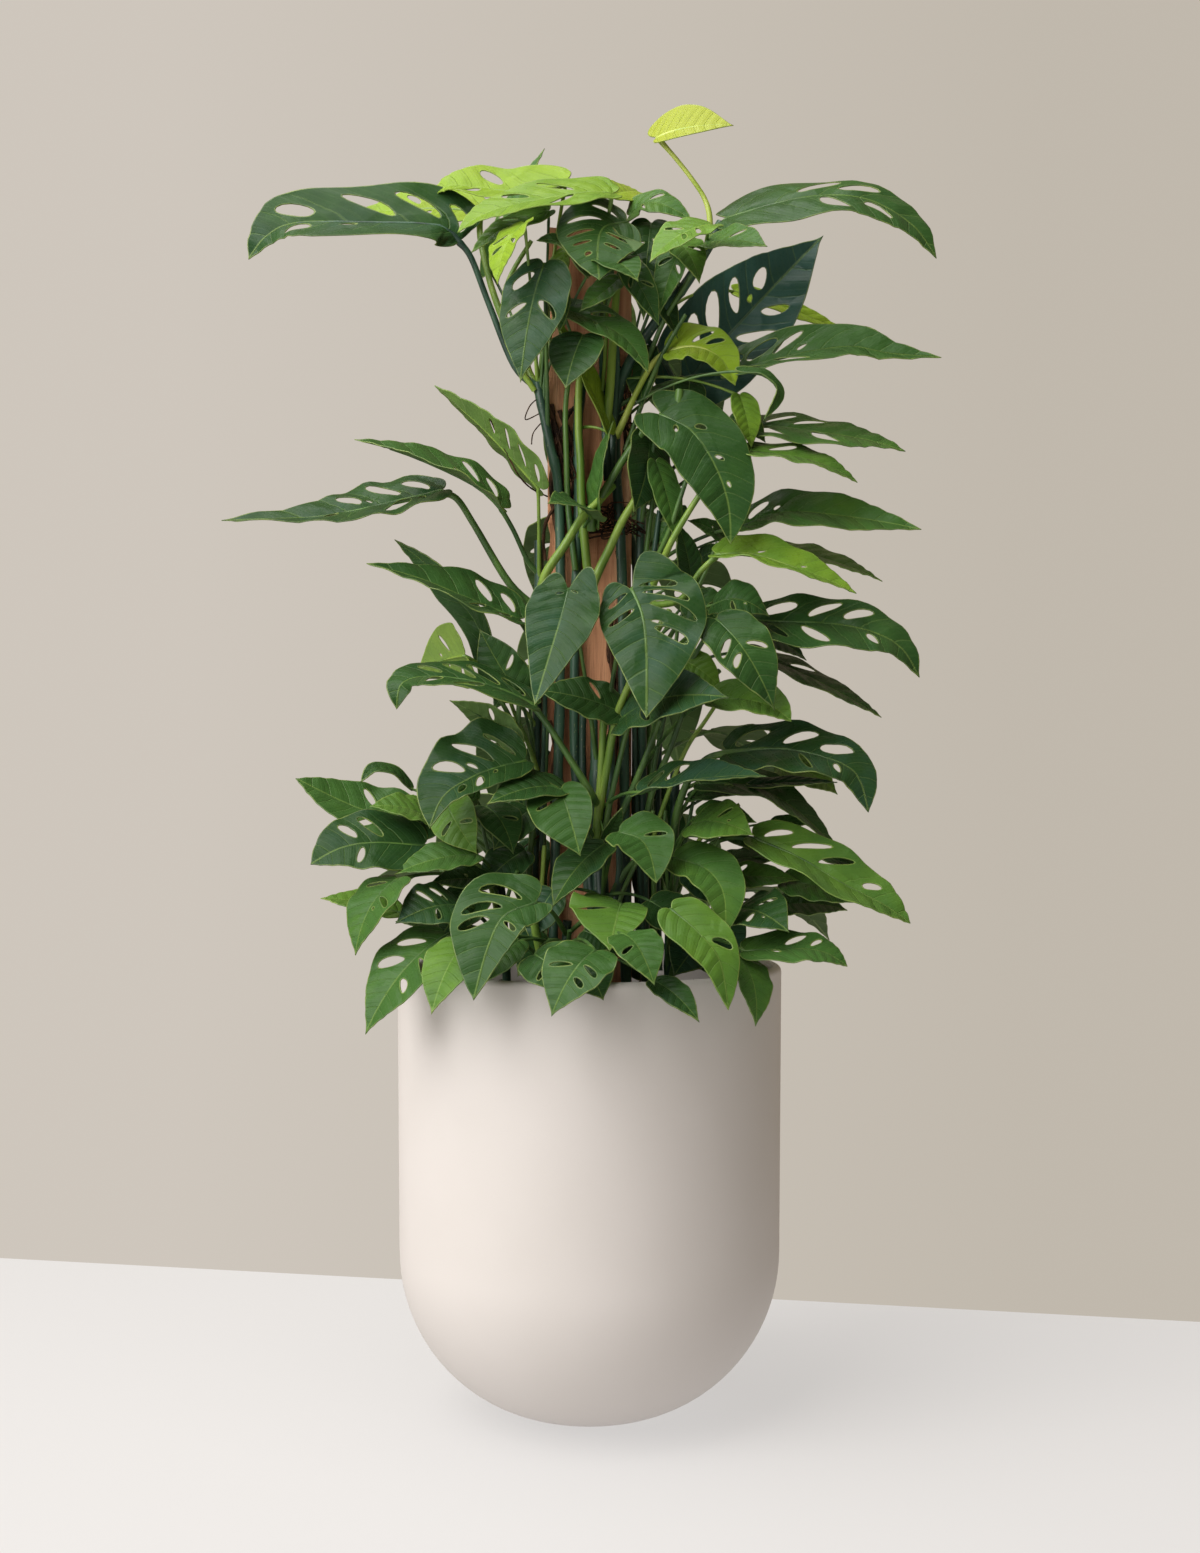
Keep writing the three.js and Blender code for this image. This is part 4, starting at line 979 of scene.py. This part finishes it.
vines["front"] = {"girth": 7, "foot": (14, -68), "route": [
    (14, 480, -60), (10, 560, -49), (8, 610, -46), (8, 650, -44),
], "leaves": [
    # The dark tone K of these two front leaves is partly painted shade, making their camera-facing sides
    # darker.
    (632, (42, 822, -122), (57, 692, -172), 48, (-8, 20), 0, -.06, "K",
     ((.06, .8), (.26, 1)), ((.02, 1.1), (.13, .8), (.25, 1.3), -.4, (.47, 1.2)),
     {"via": [(53, 795, -134), (57, 755, -150)], "sides": (.84, 1.24), "lobes": (.06, .2)}),
    (640, (-21, 822, -122), (-55, 705, -160), 35, (-10, 18), 0, .05, "K", (-.1,), (-.05,),
     {"via": [(-27, 798, -130), (-37, 765, -142)], "lobes": (.08, .17)}),
    (640, (32, 698, -84), (-55, 720, -98), 28, (0, 45), 6, .1, "D", (.3,), ()),
    (636, (32, 692, -100), (140, 713, -160), 40, (0, 44), 14, .1, "K", (.3,), (-.4,)),
    (560, (-29, 622, -110), (-9, 554, -150), 32, (0, 25), 8, .1, "G", (.2,), (), {"sides": (1.15, .75),
     "lobes": (.2, .05)}),
    (545, (-24, 623, -96), (-103, 606, -132), 26, (0, 58), 8, .15, "D"),
    (520, (29, 579, -130), (67, 527, -172), 30, (5, 52), 0, .25, "G", (), (.35,),
     {"via": [(50, 572, -145), (61, 555, -158)]}),
    (510, (16, 567, -100), (-37, 503, -132), 28, (-40, 30), 8, .1, "D"),
    (600, (50, 618, -118), (178, 634, -158), 32, (0, 68), 6, .3, "K", (), ((.08, .8), (.24, 1.5))),
    (605, (-55, 705, -104), (-193, 701, -134), 38, (0, 67), 0, .11, "D",
     (.1, .24, (.36, 1.2), .52), ((.32, 1.2), .52),
     {"via": [(-85, 720, -110), (-125, 731, -118), (-165, 734, -124), (-188, 726, -130)],
     "stalk": [(0, 620, -90), (-30, 668, -98), (-48, 694, -102)], "thick": 3.4}),
    (600, (15, 572, -80), (33, 604, -90), 9, (40, 10), 2, .2, "G"),
    (480, (-6, 480, -140), (26, 462, -150), 20, (0, 30), 4, .1, "K"),
    (520, (-36, 520, -90), (-60, 470, -100), 22, (-20, 20), 6, .1, "K"),
    (520, (60, 510, -100), (104, 470, -120), 24, (20, 25), 6, .1, "K"),
], "shoots": [
    (3.8, 2, (80, 800, -80), (56, 760, -96), (38, 722, -92), (26, 690, -84), (17, 640, -72), (10, 600, -60),
     (6, 560, -54)),
    (4.2, 2, (14, 690, -70), (12, 640, -66), (8, 590, -60), (6, 550, -56)),
    (3, 1, (40, 690, -80), (30, 650, -72), (20, 605, -64), (14, 570, -56)),
    (3.2, 1, (70, 690, -90), (55, 650, -80), (38, 610, -66), (18, 560, -54)),
    (4.2, 0, (4, 712, -46), (5, 650, -46), (6, 590, -48), (8, 520, -54)),
    (3.6, 0, (22, 700, -46), (22, 640, -46), (18, 590, -48), (14, 530, -54)),
    (3.8, 1, (48, 552, -64), (30, 530, -60), (18, 500, -60), (14, 470, -62)),
    (3.8, 0, (28, 575, -60), (30, 540, -60), (24, 500, -60), (16, 460, -62)),
    (2.2, 1, (64, 600, -80), (52, 560, -74), (34, 520, -68), (20, 480, -62)),
]}
vines["left"] = {"girth": 4.6, "foot": (-56, -14), "route": [
    (-54, 560, -14), (-52, 700, -14), (-50, 800, -15), (-51, 870, -16),
], "leaves": [
    (798, (-149, 919, -30), (-368, 890, -70), 46, (0, 63), 0, .15, "K",
     ((.08, 1), (.25, 1.7), (.49, 1.4), -.42), (-.12, (.22, 2), (.64, .8)),
     {"via": [(-190, 910, -38), (-230, 901, -46), (-280, 893, -56)],
     "stalk": [(-80, 827, -22), (-115, 885, -26), (-133, 912, -28)], "thick": 3.6}),
    (830, (-88, 903, -40), (-235, 971, -60), 38, (0, 71), 0, .28, "M", (.12, .28, -.42), (),
     {"via": [(-110, 923, -44), (-145, 941, -50), (-190, 959, -56)],
     "stalk": [(-62, 850, -20), (-76, 880, -30)], "thick": 2.6}),
    (820, (-50, 922, -48), (-155, 1025, -44), 31, (118, 43), 0, .22, "B",
     (), ((.06, .7), (.2, .6), (.36, .6), (.54, .6)), {"via": [(-80, 955, -48), (-110, 986, -46)]}),
    (740, (-70, 791, -60), (-223, 847, -90), 42, (0, 62), 0, .25, "D", ((.08, 1.2), (.26, 1.6)), (.1, .3),
     {"via": [(-100, 804, -66), (-130, 816, -72), (-170, 832, -80)]}),
    (700, (-103, 747, -34), (-195, 871, -24), 18, (-60, 20), 0, .15, "D",
     {"via": [(-112, 785, -34), (-140, 820, -32), (-165, 848, -28)]}),
    (690, (-124, 755, -76), (-172, 742, -36), 34, (160, 20), 8, .1, "P", (.25, -.5), (.4, -.58)),
    (620, (-72, 665, -56), (-140, 710, -60), 22, (150, 40), 6, .1, "M", (.35,), (.45,)),
    (650, (-70, 716, -56), (-110, 782, -64), 24, (-30, 25), 8, .1, "D", (.4,), (.2,)),
    (600, (-63, 650, -92), (-160, 582, -132), 42, (-10, 42), 0, .2, "K",
     ((.1, .6), (.28, 1.3), (.52, 1.4), -.42), (-.3, .45, .6),
     {"via": [(-90, 644, -100), (-118, 633, -110), (-146, 614, -122)], "sides": (1.3, .62)}),
    (640, (-66, 740, -30), (-96, 700, -40), 16, (-20, 20), 4, .1, "D"),
    (600, (-52, 660, 30), (-58, 580, 24), 22, (10, 20), 4, .1, "K"),
    (520, (-54, 570, 37), (-60, 490, 27), 24, (-10, 20), 4, .1, "K"),
    (560, (-60, 600, -40), (-96, 560, -50), 24, (-20, 30), 6, .1, "D"),
    (520, (-64, 560, -40), (-110, 520, -60), 24, (-20, 30), 6, .1, "K"),
], "shoots": [
    (4.6, 0, (-38, 752, 10), (-49, 724, 20), (-49, 640, 20), (-51, 540, 16), (-52, 430, 2)),
    (3, 1, (-40, 716, 4), (-54, 684, 8), (-58, 600, 10), (-57, 520, 8), (-58, 430, 0)),
    (2.6, 1, (-42, 690, -24), (-45, 600, -22), (-47, 500, -22), (-50, 430, -22)),
    (2.4, 0, (-46, 800, -20), (-44, 740, -24), (-46, 660, -24), (-48, 560, -22)),
    (3, 1, (-70, 720, -60), (-71, 665, -52), (-64, 610, -36), (-55, 570, -20)),
    (2.6, 1, (-95, 720, -60), (-78, 690, -54), (-58, 640, -36), (-53, 600, -20)),
    (3.4, 1, (-55, 600, -32), (-60, 540, -30), (-58, 480, -26), (-57, 430, -20)),
    (2.2, 2, (-86, 730, -50), (-76, 700, -44), (-62, 668, -30), (-52, 640, -18)),
    (2.6, 2, (-45, 565, -50), (-48, 520, -46), (-53, 470, -36), (-56, 430, -22)),
]}
vines["lower_left"] = {"girth": 4.2, "foot": (-82, -20), "route": [
    (-86, 490, -22), (-92, 560, -24), (-96, 600, -26),
], "leaves": [
    (560, (-170, 588, 6), (-294, 632, -8), 38, (-10, 52), 0, .1, "M", (.4,), (.37,),
     {"via": [(-230, 602, 0)]}),
    (540, (-165, 565, -66), (-279, 546, -106), 40, (0, 45), 0, .1, "K", (.28, (.48, 1.3)), ((.45, 1.2),),
     {"via": [(-215, 568, -84), (-250, 562, -96)]}),
    (550, (-158, 592, -48), (-220, 604, -72), 26, (0, 60), 6, .1, "O"),
    (570, (-142, 606, -62), (-112, 556, -92), 24, (-30, 30), 10, .1, "O", (.4,), (.5,)),
    (580, (-104, 604, -50), (-76, 556, -74), 24, (30, 30), 10, .1, "K", (), (.4,)),
    (520, (-112, 556, -86), (-195, 536, -106), 26, (0, 60), 6, .1, "M"),
    (520, (-192, 532, -106), (-234, 455, -142), 30, (-40, 30), 12, .1, "M", (.12,), (.36, -.5)),
    (490, (-190, 498, -30), (-269, 512, -30), 26, (0, 68), 4, .1, "O"),
    (480, (-130, 505, -102), (-194, 487, -142), 32, (0, 48), 8, .1, "K", (.18, (.42, 1.2)), (.45,)),
    (470, (-144, 475, -122), (-224, 376, -168), 38, (-30, 38), 14, .1, "M",
     ((.16, 1.3), (.4, 1.9)), (.33, .55)),
    (560, (-178, 622, -20), (-229, 628, -40), 10, (0, 55), 0, .2, "D",
     {"via": [(-195, 638, -28), (-216, 642, -36)]}),
    (500, (-100, 530, -65), (-160, 527, -85), 20, (0, 55), 4, .1, "D", (-.4,), ()),
    (470, (-140, 485, -55), (-194, 489, -65), 16, (0, 62), 2, .1, "G"),
    (540, (-150, 600, -30), (-196, 560, -50), 26, (-10, 40), 6, .1, "K"),
    (500, (-110, 520, -60), (-150, 470, -80), 26, (-10, 40), 6, .1, "K"),
    (560, (-112, 610, -40), (-140, 630, -50), 14, (0, 50), 3, .1, "M"),
    (470, (-110, 470, -40), (-148, 436, -70), 22, (-10, 30), 5, .1, "K"),
    (470, (-96, 466, 30), (-132, 438, 50), 24, (-10, 25), 5, .1, "K"),
], "shoots": [
    (2.2, 2, (-140, 556, -60), (-110, 545, -50), (-98, 520, -40), (-88, 470, -26)),
    (1.8, 1, (-130, 552, -50), (-108, 540, -44), (-95, 510, -34), (-86, 460, -24)),
    (2, 1, (-150, 500, -80), (-120, 500, -66), (-98, 480, -44), (-86, 440, -26)),
    (2, 1, (-110, 600, -50), (-104, 570, -44), (-96, 540, -34), (-92, 500, -26)),
    (2.2, 1, (-72, 540, -70), (-80, 520, -60), (-86, 490, -44), (-84, 450, -26)),
]}
vines["lower_front"] = {"girth": 4.2, "foot": (-24, -92), "route": [
    (-24, 460, -94), (-22, 490, -96),
], "leaves": [
    (480, (-53, 508, -182), (-116, 410, -240), 40, (-15, 25), 0, .1, "G",
     ((.14, 1.4), (.3, 1), (.44, 1.6)), ((.4, .9),), {"via": [(-85, 495, -200), (-102, 462, -220)],
     "sides": (1.15, .65), "lobes": (.1, .05)}),
    (470, (-122, 470, -172), (-158, 396, -228), 26, (-20, 30), 10, .1, "O"),
    (475, (-55, 456, -206), (-16, 416, -226), 28, (10, 35), 8, .1, "D", (.4,), ()),
    (470, (6, 460, -222), (-38, 394, -264), 32, (-20, 25), 12, .1, "G", (.4,), ((.36, 1.1), (.56, 1))),
    (480, (32, 507, -136), (20, 459, -204), 38, (0, 36), 8, .1, "O", ((.3, 1),), (), {"sides": (1.2, .7),
     "lobes": (.2, 0)}),
    (470, (36, 476, -200), (65, 425, -246), 24, (15, 30), 10, .1, "M", (.4,), ()),
    (470, (-70, 470, -150), (-106, 426, -180), 18, (-10, 40), 6, .1, "M"),
    (465, (64, 430, -200), (110, 388, -236), 16, (20, 40), 6, .1, "D"),
    (470, (-10, 450, -180), (14, 410, -200), 24, (10, 35), 6, .1, "K"),
    (465, (-40, 472, -60), (-72, 434, -92), 24, (0, 30), 5, .1, "K"),
    (465, (-2, 474, -60), (18, 436, -100), 24, (0, 30), 5, .1, "K"),
], "shoots": [
    (4.4, 2, (-58, 505, -110), (-54, 480, -106), (-46, 450, -100), (-30, 420, -94)),
    (2.4, 1, (-20, 480, -130), (-22, 460, -116), (-24, 440, -100), (-24, 420, -94)),
    (2.4, 1, (0, 470, -140), (-6, 455, -124), (-16, 436, -106), (-22, 418, -96)),
    (2.2, 1, (-80, 480, -130), (-64, 466, -120), (-44, 446, -106), (-28, 420, -96)),
]}
vines["lower_right"] = {"girth": 4.4, "foot": (78, -34), "route": [
    (80, 490, -36), (84, 570, -38), (86, 640, -38),
], "leaves": [
    (500, (84, 553, -122), (136, 475, -172), 28, (10, 48), 0, .2, "M",
     {"via": [(116, 542, -142), (134, 517, -158)]}),
    (470, (145, 500, -112), (200, 478, -170), 34, (10, 40), 10, .1, "K", (.5, -.64), (.4,)),
    (465, (155, 460, -152), (258, 444, -166), 28, (0, 65), 0, .1, "M", (-.2,), ((.28, 1.2), .5),
     {"via": [(205, 462, -158), (235, 458, -162)]}),
    (500, (190, 505, -60), (258, 500, -70), 24, (0, 60), 5, .1, "G"),
    (490, (195, 530, -92), (278, 507, -114), 28, (0, 58), 4, .1, "M", (), (.4,)),
    (530, (165, 572, -110), (321, 487, -152), 40, (0, 65), 0, .25, "O",
     (), ((.06, .8), (.2, 1), (.34, 1), (.6, 1.2)),
     {"via": [(210, 553, -122), (255, 526, -135), (295, 505, -146)],
     "stalk": [(95, 545, -60), (120, 565, -80), (142, 573, -98)], "thick": 2.8}),
    (540, (132, 548, -60), (210, 552, -60), 24, (0, 72), 4, .1, "D"),
    (545, (104, 587, -114), (164, 575, -152), 30, (0, 48), 8, .1, "O", (), (.42, -.6)),
    (580, (110, 627, -70), (248, 560, -76), 34, (0, 67), 0, .2, "D", (-.19,), ((.42, 1),),
     {"via": [(160, 625, -72), (205, 602, -74)]}),
    (570, (138, 658, -70), (279, 598, -112), 46, (0, 61), 0, .1, "K",
     ((.4, .6), (.62, .8)), ((.08, 1.7), (.3, 1.3), (.52, 1.9)),
     {"via": [(185, 662, -80), (230, 655, -92), (266, 637, -104)],
     "stalk": [(88, 600, -50), (100, 632, -60), (118, 652, -66)], "thick": 3.8}),
    (620, (190, 645, -26), (248, 616, -36), 28, (0, 58), 8, .1, "O"),
    (460, (81, 502, -182), (139, 400, -222), 28, (20, 35), 0, .1, "O", (), ((.5, 1.4),),
     {"via": [(107, 480, -196), (130, 450, -210)]}),
    (455, (150, 454, -160), (166, 384, -190), 22, (40, 20), 10, .1, "M"),
    (520, (132, 532, -93), (210, 530, -103), 20, (0, 55), 4, .1, "M", (), ((.2, 1.3),)),
    (520, (230, 555, -90), (290, 534, -100), 10, (0, 60), 2, .1, "D"),
    (560, (107, 595, -80), (167, 588, -100), 20, (0, 50), 4, .1, "M", (.4,), ((.3, 1),)),
    (550, (182, 588, -60), (220, 586, -70), 9, (0, 45), 2, .1, "G"),
    (600, (100, 613, -51), (175, 620, -71), 16, (0, 60), 4, .1, "D", (), (.3,)),
    (590, (160, 625, -77), (248, 628, -87), 12, (0, 65), 2, .1, "K", (.3,), ()),
    (480, (120, 500, -80), (150, 450, -100), 24, (20, 30), 6, .1, "K"),
    (470, (112, 470, -40), (84, 434, -80), 24, (0, 30), 5, .1, "K"),
    (470, (104, 472, 40), (144, 438, 60), 24, (0, 25), 5, .1, "K"),
    (500, (100, 540, -70), (140, 500, -90), 24, (20, 30), 6, .1, "K"),
    (560, (58, 640, 30), (66, 560, 22), 22, (-10, 20), 4, .1, "K"),
    (500, (60, 560, 33), (70, 480, 23), 24, (10, 20), 4, .1, "K"),
    (540, (74, 610, 10), (80, 530, 0), 20, (20, 20), 4, .1, "D"),
    (560, (120, 600, -50), (160, 560, -60), 20, (20, 30), 6, .1, "D"),
], "shoots": [
    (4.4, 0, (38, 880, -4), (46, 850, -6), (47, 740, -6), (47, 600, -6), (52, 440, -12)),
    (4.8, 0, (38, 782, 10), (50, 754, 20), (52, 660, 20), (54, 540, 16), (56, 430, 2)),
    (3.4, 1, (40, 752, 2), (56, 724, 6), (60, 640, 8), (62, 540, 6), (64, 430, -4)),
    (3, 0, (44, 720, -26), (46, 640, -24), (50, 540, -26), (56, 440, -30)),
    (2.6, 1, (66, 700, -30), (62, 620, -28), (64, 540, -30), (66, 440, -32)),
    (2.8, 0, (72, 740, -20), (70, 660, -18), (68, 560, -20), (70, 440, -26)),
    (3, 1, (110, 530, -74), (98, 495, -66), (88, 460, -46), (80, 425, -36)),
    (2.4, 1, (90, 545, -66), (84, 515, -56), (80, 480, -44), (78, 440, -36)),
    (2.6, 1, (130, 572, -92), (112, 540, -80), (96, 500, -60), (82, 450, -38)),
    (2.4, 2, (150, 606, -70), (126, 590, -64), (104, 560, -50), (86, 510, -38)),
    (2.2, 2, (168, 530, -84), (140, 515, -74), (110, 486, -56), (84, 440, -38)),
    (2.2, 1, (104, 612, -50), (98, 580, -46), (90, 540, -40), (84, 500, -38)),
    (2, 1, (76, 600, -56), (74, 570, -52), (78, 530, -44), (80, 480, -38)),
]}
vines["back_left"] = {"girth": 4.6, "foot": (-20, 30), "route": [
    (-20, 560, 30), (-20, 750, 29), (-21, 920, 28), (-20, 1080, 28),
], "leaves": [
    (1060, (0, 1120, 70), (-8, 1010, 140), 42, (185, 40), 20, .1, "D", (.28, .53), (.24, .49)),
    (960, (-4, 1000, 96), (-6, 880, 180), 44, (182, 35), 22, .1, "M", (.4,), (.37,)),
    (840, (-20, 890, 96), (-44, 790, 190), 38, (192, 40), 20, .1, "D", (.4,), (.37,)),
    (740, (-24, 780, 120), (-50, 670, 215), 44, (180, 35), 22, .1, "M", (.4,), (.37,)),
    (660, (-60, 690, 100), (-96, 600, 190), 38, (200, 42), 22, .1, "D", (.4,), (.37,)),
    (560, (-80, 610, 120), (-150, 520, 230), 42, (200, 40), 22, .1, "M", (.4,), (.37,)),
    (500, (-150, 540, 90), (-240, 480, 180), 38, (230, 50), 18, .1, "D"),
    (460, (-40, 510, 150), (-60, 430, 250), 36, (185, 40), 18, .1, "M"),
    (1079, (-18, 1118, 44), (-24, 1166, 66), 18, (180, 30), 4, .1, "B"),
    (470, (-40, 470, 66), (-64, 432, 104), 26, (-10, 20), 5, .1, "K"),
    (466, (-84, 468, 80), (-112, 434, 112), 24, (-20, 20), 5, .1, "K"),
], "shoots": []}
vines["back_right"] = {"girth": 4.6, "foot": (22, 30), "route": [
    (22, 560, 30), (22, 750, 29), (22, 900, 28), (22, 1030, 28),
], "leaves": [
    (1010, (70, 1060, 96), (120, 950, 176), 46, (165, 38), 22, .1, "D", (.28, .53), (.24, .49)),
    (900, (40, 940, 110), (60, 820, 200), 44, (175, 35), 20, .1, "M", (.4,), (.37,)),
    (800, (84, 850, 96), (130, 750, 185), 42, (155, 42), 20, .1, "D", (.4,), (.37,)),
    (700, (60, 750, 120), (90, 640, 210), 44, (170, 35), 22, .1, "M", (.4,), (.37,)),
    (620, (120, 680, 100), (190, 610, 190), 40, (145, 45), 20, .1, "D", (.4,), (.37,)),
    (540, (70, 590, 130), (120, 500, 240), 42, (165, 40), 22, .1, "M", (.4,), (.37,)),
    (480, (150, 520, 100), (240, 470, 190), 38, (135, 50), 18, .1, "D"),
    (1029, (26, 1070, 46), (34, 1126, 70), 20, (180, 30), 4, .1, "B"),
    (470, (46, 470, 66), (62, 432, 106), 26, (10, 20), 5, .1, "K"),
    (466, (10, 468, 80), (-6, 432, 110), 24, (-10, 20), 5, .1, "K"),
], "shoots": []}


def leafOf(row):
    names = ("from", "base", "tip", "half", "facing", "arch", "cup", "tone", "plus", "minus")
    changes = row[-1] if isinstance(row[-1], dict) else {}
    values = row[:-1] if changes else row
    return {**noChange, **dict(zip(names, values)), **changes}


def joinMeshes(meshes, name):
    bpy.ops.object.select_all(action="DESELECT")
    parts = [addObject(name, mesh) for mesh in meshes]
    for part in parts:
        part.select_set(True)
    bpy.context.view_layer.objects.active = parts[0]
    bpy.ops.object.join()
    mesh = parts[0].data
    bpy.data.objects.remove(parts[0])
    mesh.name = name
    return mesh


firstSeed = 100
stemMaterials = [stemMaterial(*colors) for colors in stemColors]
for number, (short, vine) in enumerate(vines.items()):
    node = "vine_" + short
    draw = random.Random(firstSeed + number)
    line = stemLine(vine)
    leaves = [leafOf(row) for row in vine["leaves"]]
    blades = joinMeshes([bladeMesh(leaf, draw) for leaf in leaves], short)
    foliage = addPiece("leaves_" + short, blades, leafMaterials, node)
    shell = foliage.modifiers.new("thickness", "SOLIDIFY")
    shell.thickness = blade["thick"] * mm
    shell.offset = 0
    shell.material_offset = 2
    foliage.modifiers.new("edges", "WEIGHTED_NORMAL")
    curve = makeCurve(short, stemMaterials)
    stemSpline(curve, vine, line)
    for leaf in leaves:
        stalkSpline(curve, leaf, line)
    for radius, tone, *spots in vine["shoots"]:
        path = smoothLine([place(spot) for spot in spots], shoot["steps"])
        radii = [radius * (shoot["thin"] + shoot["gain"] * i / len(path)) for i in range(len(path))]
        addSpline(curve, path, radii, tone)
    addPiece("stems_" + short, tubesToMesh(curve, "stems_" + short), [], node)
    print(node, len(leaves), "leaves")


# Aerial roots that run down the plank (radius, spots), and mats of fine ones on it (middle, half
# width, half height, how many)

roots = {
    "colors": [(0.35, (34, 24, 18)), (0.6, (76, 54, 38))], "dust": (112, 86, 62), "seed": 77,
    "runSteps": 8, "uneven": (0.85, 1.15), "hairSteps": 6, "hairSpots": 4, "hairThick": (0.35, 0.9),
    "hairDeep": (-9, 2),
    "runs": [
        (2.6, (-45, 1012, -24), (-36, 990, -24), (-28, 960, -24), (-25, 930, -24), (-22, 890, -24),
         (-14, 850, -26)),
        (2.3, (-8, 1006, -22), (-20, 998, -22), (-27, 978, -23), (-30, 950, -23)),
        (1.7, (-28, 912, -24), (-42, 892, -24), (-46, 872, -22), (-44, 850, -21)),
        (.8, (-103, 999, -52), (-92, 976, -50), (-80, 952, -48), (-70, 934, -44), (-58, 922, -36),
         (-42, 914, -22)),
        (.6, (-52, 1012, -30), (-60, 1004, -32), (-64, 991, -32), (-50, 997, -26)),
        (.6, (-46, 990, -26), (-56, 978, -30), (-58, 966, -30)),
        (2.8, (-38, 1006, -20), (-34, 962, -21), (-38, 920, -21), (-30, 870, -21)),
        (2.2, (-30, 1000, -21), (-21, 966, -22), (-30, 930, -22), (-24, 888, -22)),
        (2.2, (-40, 690, -21), (-34, 660, -21), (-38, 620, -21), (-32, 570, -21)),
        (2, (-22, 985, -21), (-14, 940, -21), (-20, 900, -21), (-8, 860, -22)),
        (2.4, (28, 860, -22), (34, 820, -21), (30, 770, -21), (36, 720, -21)),
        (2, (24, 800, -22), (20, 760, -21), (28, 700, -21), (24, 640, -21)),
        (2.2, (32, 700, -21), (36, 650, -21), (30, 600, -21), (34, 540, -22)),
        (1.8, (36, 640, -21), (30, 590, -22), (36, 540, -22), (30, 480, -24)),
        (1.8, (30, 1000, -21), (36, 970, -21), (30, 930, -21), (36, 890, -21)),
        (.8, (-50, 575, -22), (-70, 560, -30), (-84, 552, -36), (-100, 548, -40)),
    ],
    "mats": [
        ((26, 890, -26), 32, 18, 15), ((-18, 955, -24), 16, 30, 9), ((34, 1010, -24), 10, 36, 9),
        ((30, 740, -24), 12, 60, 12),
    ],
}


def rootMaterial():
    material, tree, shader = startMaterial("aerialRoot", 0.85, 0.2)
    patch = grain(tree, 60, detail=2)
    fine = grain(tree, 900, detail=3)
    color = ramp(tree, patch, roots["colors"])
    paint(tree, shader, tint(tree, color, fine, (0.55, 0.75, 0, 0.5), roots["dust"]))
    relief(tree, shader, fine, 0.5 * mm, 0.8)
    return material


def makeRoots():
    curve = makeCurve("roots", [rootMaterial()])
    draw = random.Random(roots["seed"])
    for radius, *spots in roots["runs"]:
        line = smoothLine([place(spot) for spot in spots], roots["runSteps"])
        addSpline(curve, line, [radius * draw.uniform(*roots["uneven"]) for _ in line], 0)
    for (across, up, depth), wide, tall, count in roots["mats"]:
        for _ in range(count):
            spots = [
                (across + draw.uniform(-1, 1) * wide, up + draw.uniform(-1, 1) * tall,
                 depth + draw.uniform(*roots["hairDeep"]))
                for _ in range(roots["hairSpots"])
            ]
            line = smoothLine([place(spot) for spot in spots], roots["hairSteps"])
            addSpline(curve, line, [draw.uniform(*roots["hairThick"])] * len(line), 0)
    addPiece("aerialRoots", tubesToMesh(curve, "aerialRoots"), [], None)


makeRoots()
print("roots made")
